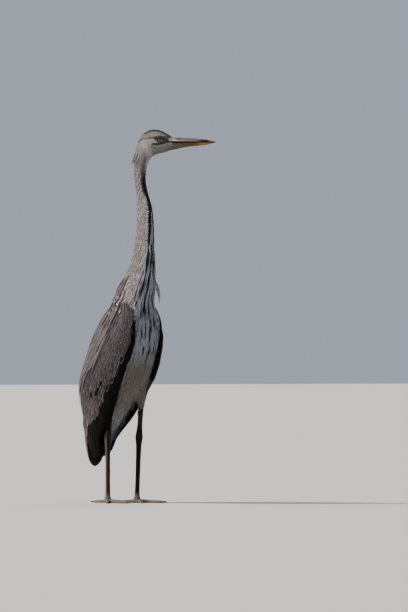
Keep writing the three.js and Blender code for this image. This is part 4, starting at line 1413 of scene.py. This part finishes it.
def paintBill(piece):
    mesh = piece.data
    places = pointsOf(mesh)
    reach = (places - neckFoot) @ headWay / mm
    height = places[:, 2] / mm
    top, bottom = (np.interp(reach, billReach, edge) for edge in billEdges)
    gape = billMake["gape"]
    upper, lower = height > gape, height < gape
    grain = 0.5 + 0.5 * np.sin(reach * 0.9 + height * 2.1) * np.sin(reach * 0.23 - height * 1.3)
    culmen = top - np.interp(reach, [76, 120, 150, 180], [2.6, 2.0, 1.4, 0.4])
    tint = layAll(plain("upperBill", len(places)), [
        (between(height, culmen - 0.8, culmen + 0.5) * between(reach, 178, 150), "topBill"),
        (spot(reach, height, 93, 905.7, 15, 1.5) * 1.3 * upper, "creamBill"),
        (spot(reach, height, 80, 906.5, 9, 3.0) * 1.2 * upper, "creamBill"),
        (between(height, 904.5, 903.1) * upper * band(reach, 84, 92, 126, 150), "oliveBill"),
        (spot(reach, height, 161, 903.7, 14, 2.6) * 1.5 * upper, "darkBill"),
        # the lower half is in a darker brown than its own yellow-orange, partly painted shade because it
        # faces down
        (lower, "underBill"),
        (lower * between(reach, 122, 84) * 0.9, "baseBill"),
        # painted shade along the lower half's bottom edge
        (lower * between(height, bottom + 3.2, bottom + 0.8) * 0.75, "edgeBill"),
        (lower * band(reach, 140, 158, 176, 186) * between(height, bottom + 0.8, bottom + 2.4), "orangeBill"),
        (lower * spot(reach, height, 160, 898, 16, 2.4) * 0.9, "orangeBill"),
        (between(reach, 176, 188) * 0.9, "tipBill"),
        (spot(reach, height, 97, 907.9, 7.5, 1.6) * 1.2, "nostrilBill"),
        (closeTo(height, gape - 0.3, 0.7, 1.5) * between(reach, 184, 176), "mouthBill"),
    ])
    paintPoints(mesh, tint * (0.86 + 0.28 * grain)[:, None])
    pickOnly(piece)
    bpy.ops.object.shade_smooth_by_angle(angle=math.radians(35))


hornFinish = hornPaint("billHorn", 300, 0.38)
bills = []
for name, upper in (("bill_upper", True), ("bill_lower", False)):
    half = sweepBill(name.replace("_u", "U").replace("_l", "L"), upper)
    while len(half.data.vertices) < billMake["fewest"]:  # now and then the nostril cut takes the half away
        bpy.data.objects.remove(half)
        half = sweepBill(name.replace("_u", "U").replace("_l", "L"), upper)
    paintBill(half)
    half.data.materials.append(hornFinish)
    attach(half, "root")
    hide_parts(name)
    bills.append(half)
print("bill made")


fringeMake = {
    "number": 620, "turn": 165, "length": 5.2,
    # how far forward the feathers reach, by the angle from the chin
    "edge": [(0, 101), (22, 95), (40, 86), (62, 81), (78, 83), (100, 79), (150, 81)],
}


def billFringe():  # short feathers that run from the face over the base of the bill, furthest under the chin
    seed = np.random.default_rng(29)
    trees = [hide["tree"]] + [treeOf(half.data) for half in bills]
    number, turn, length = (fringeMake[key] for key in ("number", "turn", "length"))
    angle = seed.uniform(-turn, turn, number)
    back = seed.uniform(0, 1, number) ** 1.2 * np.interp(np.abs(angle), [0, 60], [24, 9])
    starts = np.interp(np.abs(angle), *zip(*fringeMake["edge"])) - 5 - back
    places, normals = [], []
    for start, turn in zip(starts, np.radians(angle)):
        way = headLeft * math.sin(turn) - np.array([0, 0, 1]) * math.cos(turn)
        row = []
        for at in start + stationsOf("scale") * length:
            middle = sum(np.interp(at, billReach, edge) for edge in billEdges) / 2
            axis = neckFoot + headWay * at * mm + np.array([0, 0, middle * mm])
            hits = [tree.ray_cast(Vector(axis + way * 0.04), Vector(-way), 0.04) for tree in trees]
            row += sorted((hit for hit in hits if hit[0] is not None), key=lambda hit: hit[3])[:1]
        if len(row) == len(vaneShapes["scale"]):
            places.append([list(hit[0]) for hit in row])
            normals.append([list(hit[1]) for hit in row])
    places, normals = np.array(places), unit(np.array(normals))
    normals = unit(normals + normals.mean(1, keepdims=True))
    number = len(places)
    growVanes("faceCoat", "scale", (places, normals), tint=varied(markings(places), 0.06, seed),
              width=seed.uniform(0.42, 0.6, number), height=(-0.05, seed.uniform(0.4, 0.9, number)),
              fringe=1.1, edge=0.4, camber=0.3, keel=False, thick=0.1)


billFringe()
dressCoat("faceCoat", finePaint)

# eyes: a glossy ball with the iris and pupil, and a rim of bare lid round each one

eyeMake = {
    "radius": 8.2, "lidRing": 6.35, "lidThick": 0.95, "lidTones": ("2b2a24", "41454a"), "brow": 1.5,
    "forward": 12, "iris": [
        # iris rings: a dark olive where a heron's iris is yellow, the colour darkened as painted shade from
        # the brow
        (0.0, "040404"), (0.37, "050505"), (0.395, "5d5620"), (0.5, "8f8735"), (0.62, "6d672a"),
        (0.71, "2a280f"), (0.77, "080807")],
}


def eyePaint():
    paint, tree, shader = newPaint("eyeGlass")
    rings = ramp(tree, addNode(tree, "Attribute", {}, attribute_name="fromPupil")["Fac"], eyeMake["iris"])
    fleck = ramp(tree, noise(tree, objectPlace(tree), 1500), [(0.35, 0.7), (0.65, 1.0)])
    feed(tree, shader, {"Base Color": multiply(tree, rings, fleck, 0.6), "Roughness": 0.3,
                        "Specular IOR Level": 0.2, "Coat Weight": 0.3, "Coat Roughness": 0.05})
    return paint


def makeEye(side, finish):
    centre = eyeCentres[side]
    radius, ring = eyeMake["radius"], eyeMake["lidRing"]
    forward = math.radians(eyeMake["forward"])
    way = unit(headLeft * (1 if side == "left" else -1) * math.cos(forward) + headWay * math.sin(forward))
    turn = Vector(way).to_track_quat("Z", "Y").to_euler()
    bpy.ops.mesh.primitive_uv_sphere_add(segments=64, ring_count=48, radius=radius * mm, location=centre,
                                         rotation=turn)
    ball = bpy.context.object
    ball.name = f"eyeBall_{side}"
    settle(ball)
    out = unit(pointsOf(ball.data) - centre)
    away = np.linalg.norm(np.cross(out, way), axis=1) * np.where(out @ way > 0, 1, 2)
    layer = ball.data.attributes.new("fromPupil", "FLOAT", "POINT")
    layer.data.foreach_set("value", np.minimum(away, 1).astype(np.float32))
    bpy.ops.object.shade_smooth_by_angle(angle=math.radians(60))
    ball.data.materials.append(finish)
    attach(ball, "root")
    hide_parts(f"eye_{side}")
    middle = centre + way * math.sqrt(radius ** 2 - ring ** 2) * mm
    bpy.ops.mesh.primitive_torus_add(major_segments=56, minor_segments=14, major_radius=ring * mm,
                                     minor_radius=eyeMake["lidThick"] * mm, location=middle, rotation=turn)
    rim = bpy.context.object
    rim.name = f"lidRim_{side}"
    settle(rim)
    ahead = unit(headWay - way * (headWay @ way))
    above = np.cross(ahead, way)
    above = above * np.sign(above[2])
    flat = (pointsOf(rim.data) - middle) / mm
    x, y, z = flat @ ahead, flat @ above, flat @ way
    bearing = np.arctan2(y, x)
    high = np.clip(np.sin(bearing), 0, 1) ** 0.8  # the upper lid is heavier and overhangs under the brow
    corner = np.abs(np.cos(bearing)) ** 6
    off = np.hypot(x, y) - ring
    off = off * (1 + high * eyeMake["brow"] * (off > 0) + 0.25 * high)
    x = np.cos(bearing) * (ring * (1.03 + 0.13 * corner) + off)
    y = np.sin(bearing) * (ring * (0.96 - 0.1 * high) + off)
    z = z * (1 + 0.5 * high) + (high - corner) * 0.9
    setPoints(rim.data, middle + (x[:, None] * ahead + y[:, None] * above + z[:, None] * way) * mm)
    inner, outer = (colour(code) for code in eyeMake["lidTones"])
    paintPoints(rim.data, inner + (outer - inner) * np.clip(off / 2.2, 0, 1)[:, None])
    bpy.ops.object.shade_smooth_by_angle(angle=math.radians(60))
    rim.data.materials.append(lidFinish)
    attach(rim, "root")


eyeFinish = eyePaint()
lidFinish = hornPaint("lidSkin", 900, 0.45)
for side in sides:
    makeEye(side, eyeFinish)
print("eyes made")

# claws

def makeClaws():
    clawNodes = [f"claw_{side}_{toe}" for side in sides for toe in toeNames]
    claws = mergedCopy(clawNodes, "claws")
    addModifier(claws, "SUBSURF", levels=2, render_levels=2)
    height = pointsOf(claws.data)[:, 2] / mm
    # the claws darken towards their points near the ground, in the leg's shaded-side tone
    paintPoints(claws.data, lay(plain("claw", len(height)), between(height, 6, 0.5), "legShadedSide"))
    pickOnly(claws)
    bpy.ops.object.shade_smooth_by_angle(angle=math.radians(50))
    claws.data.materials.append(hornPaint("clawHorn", 500, 0.35))
    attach(claws, "root")
    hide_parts(*clawNodes)


makeClaws()
print("claws made")
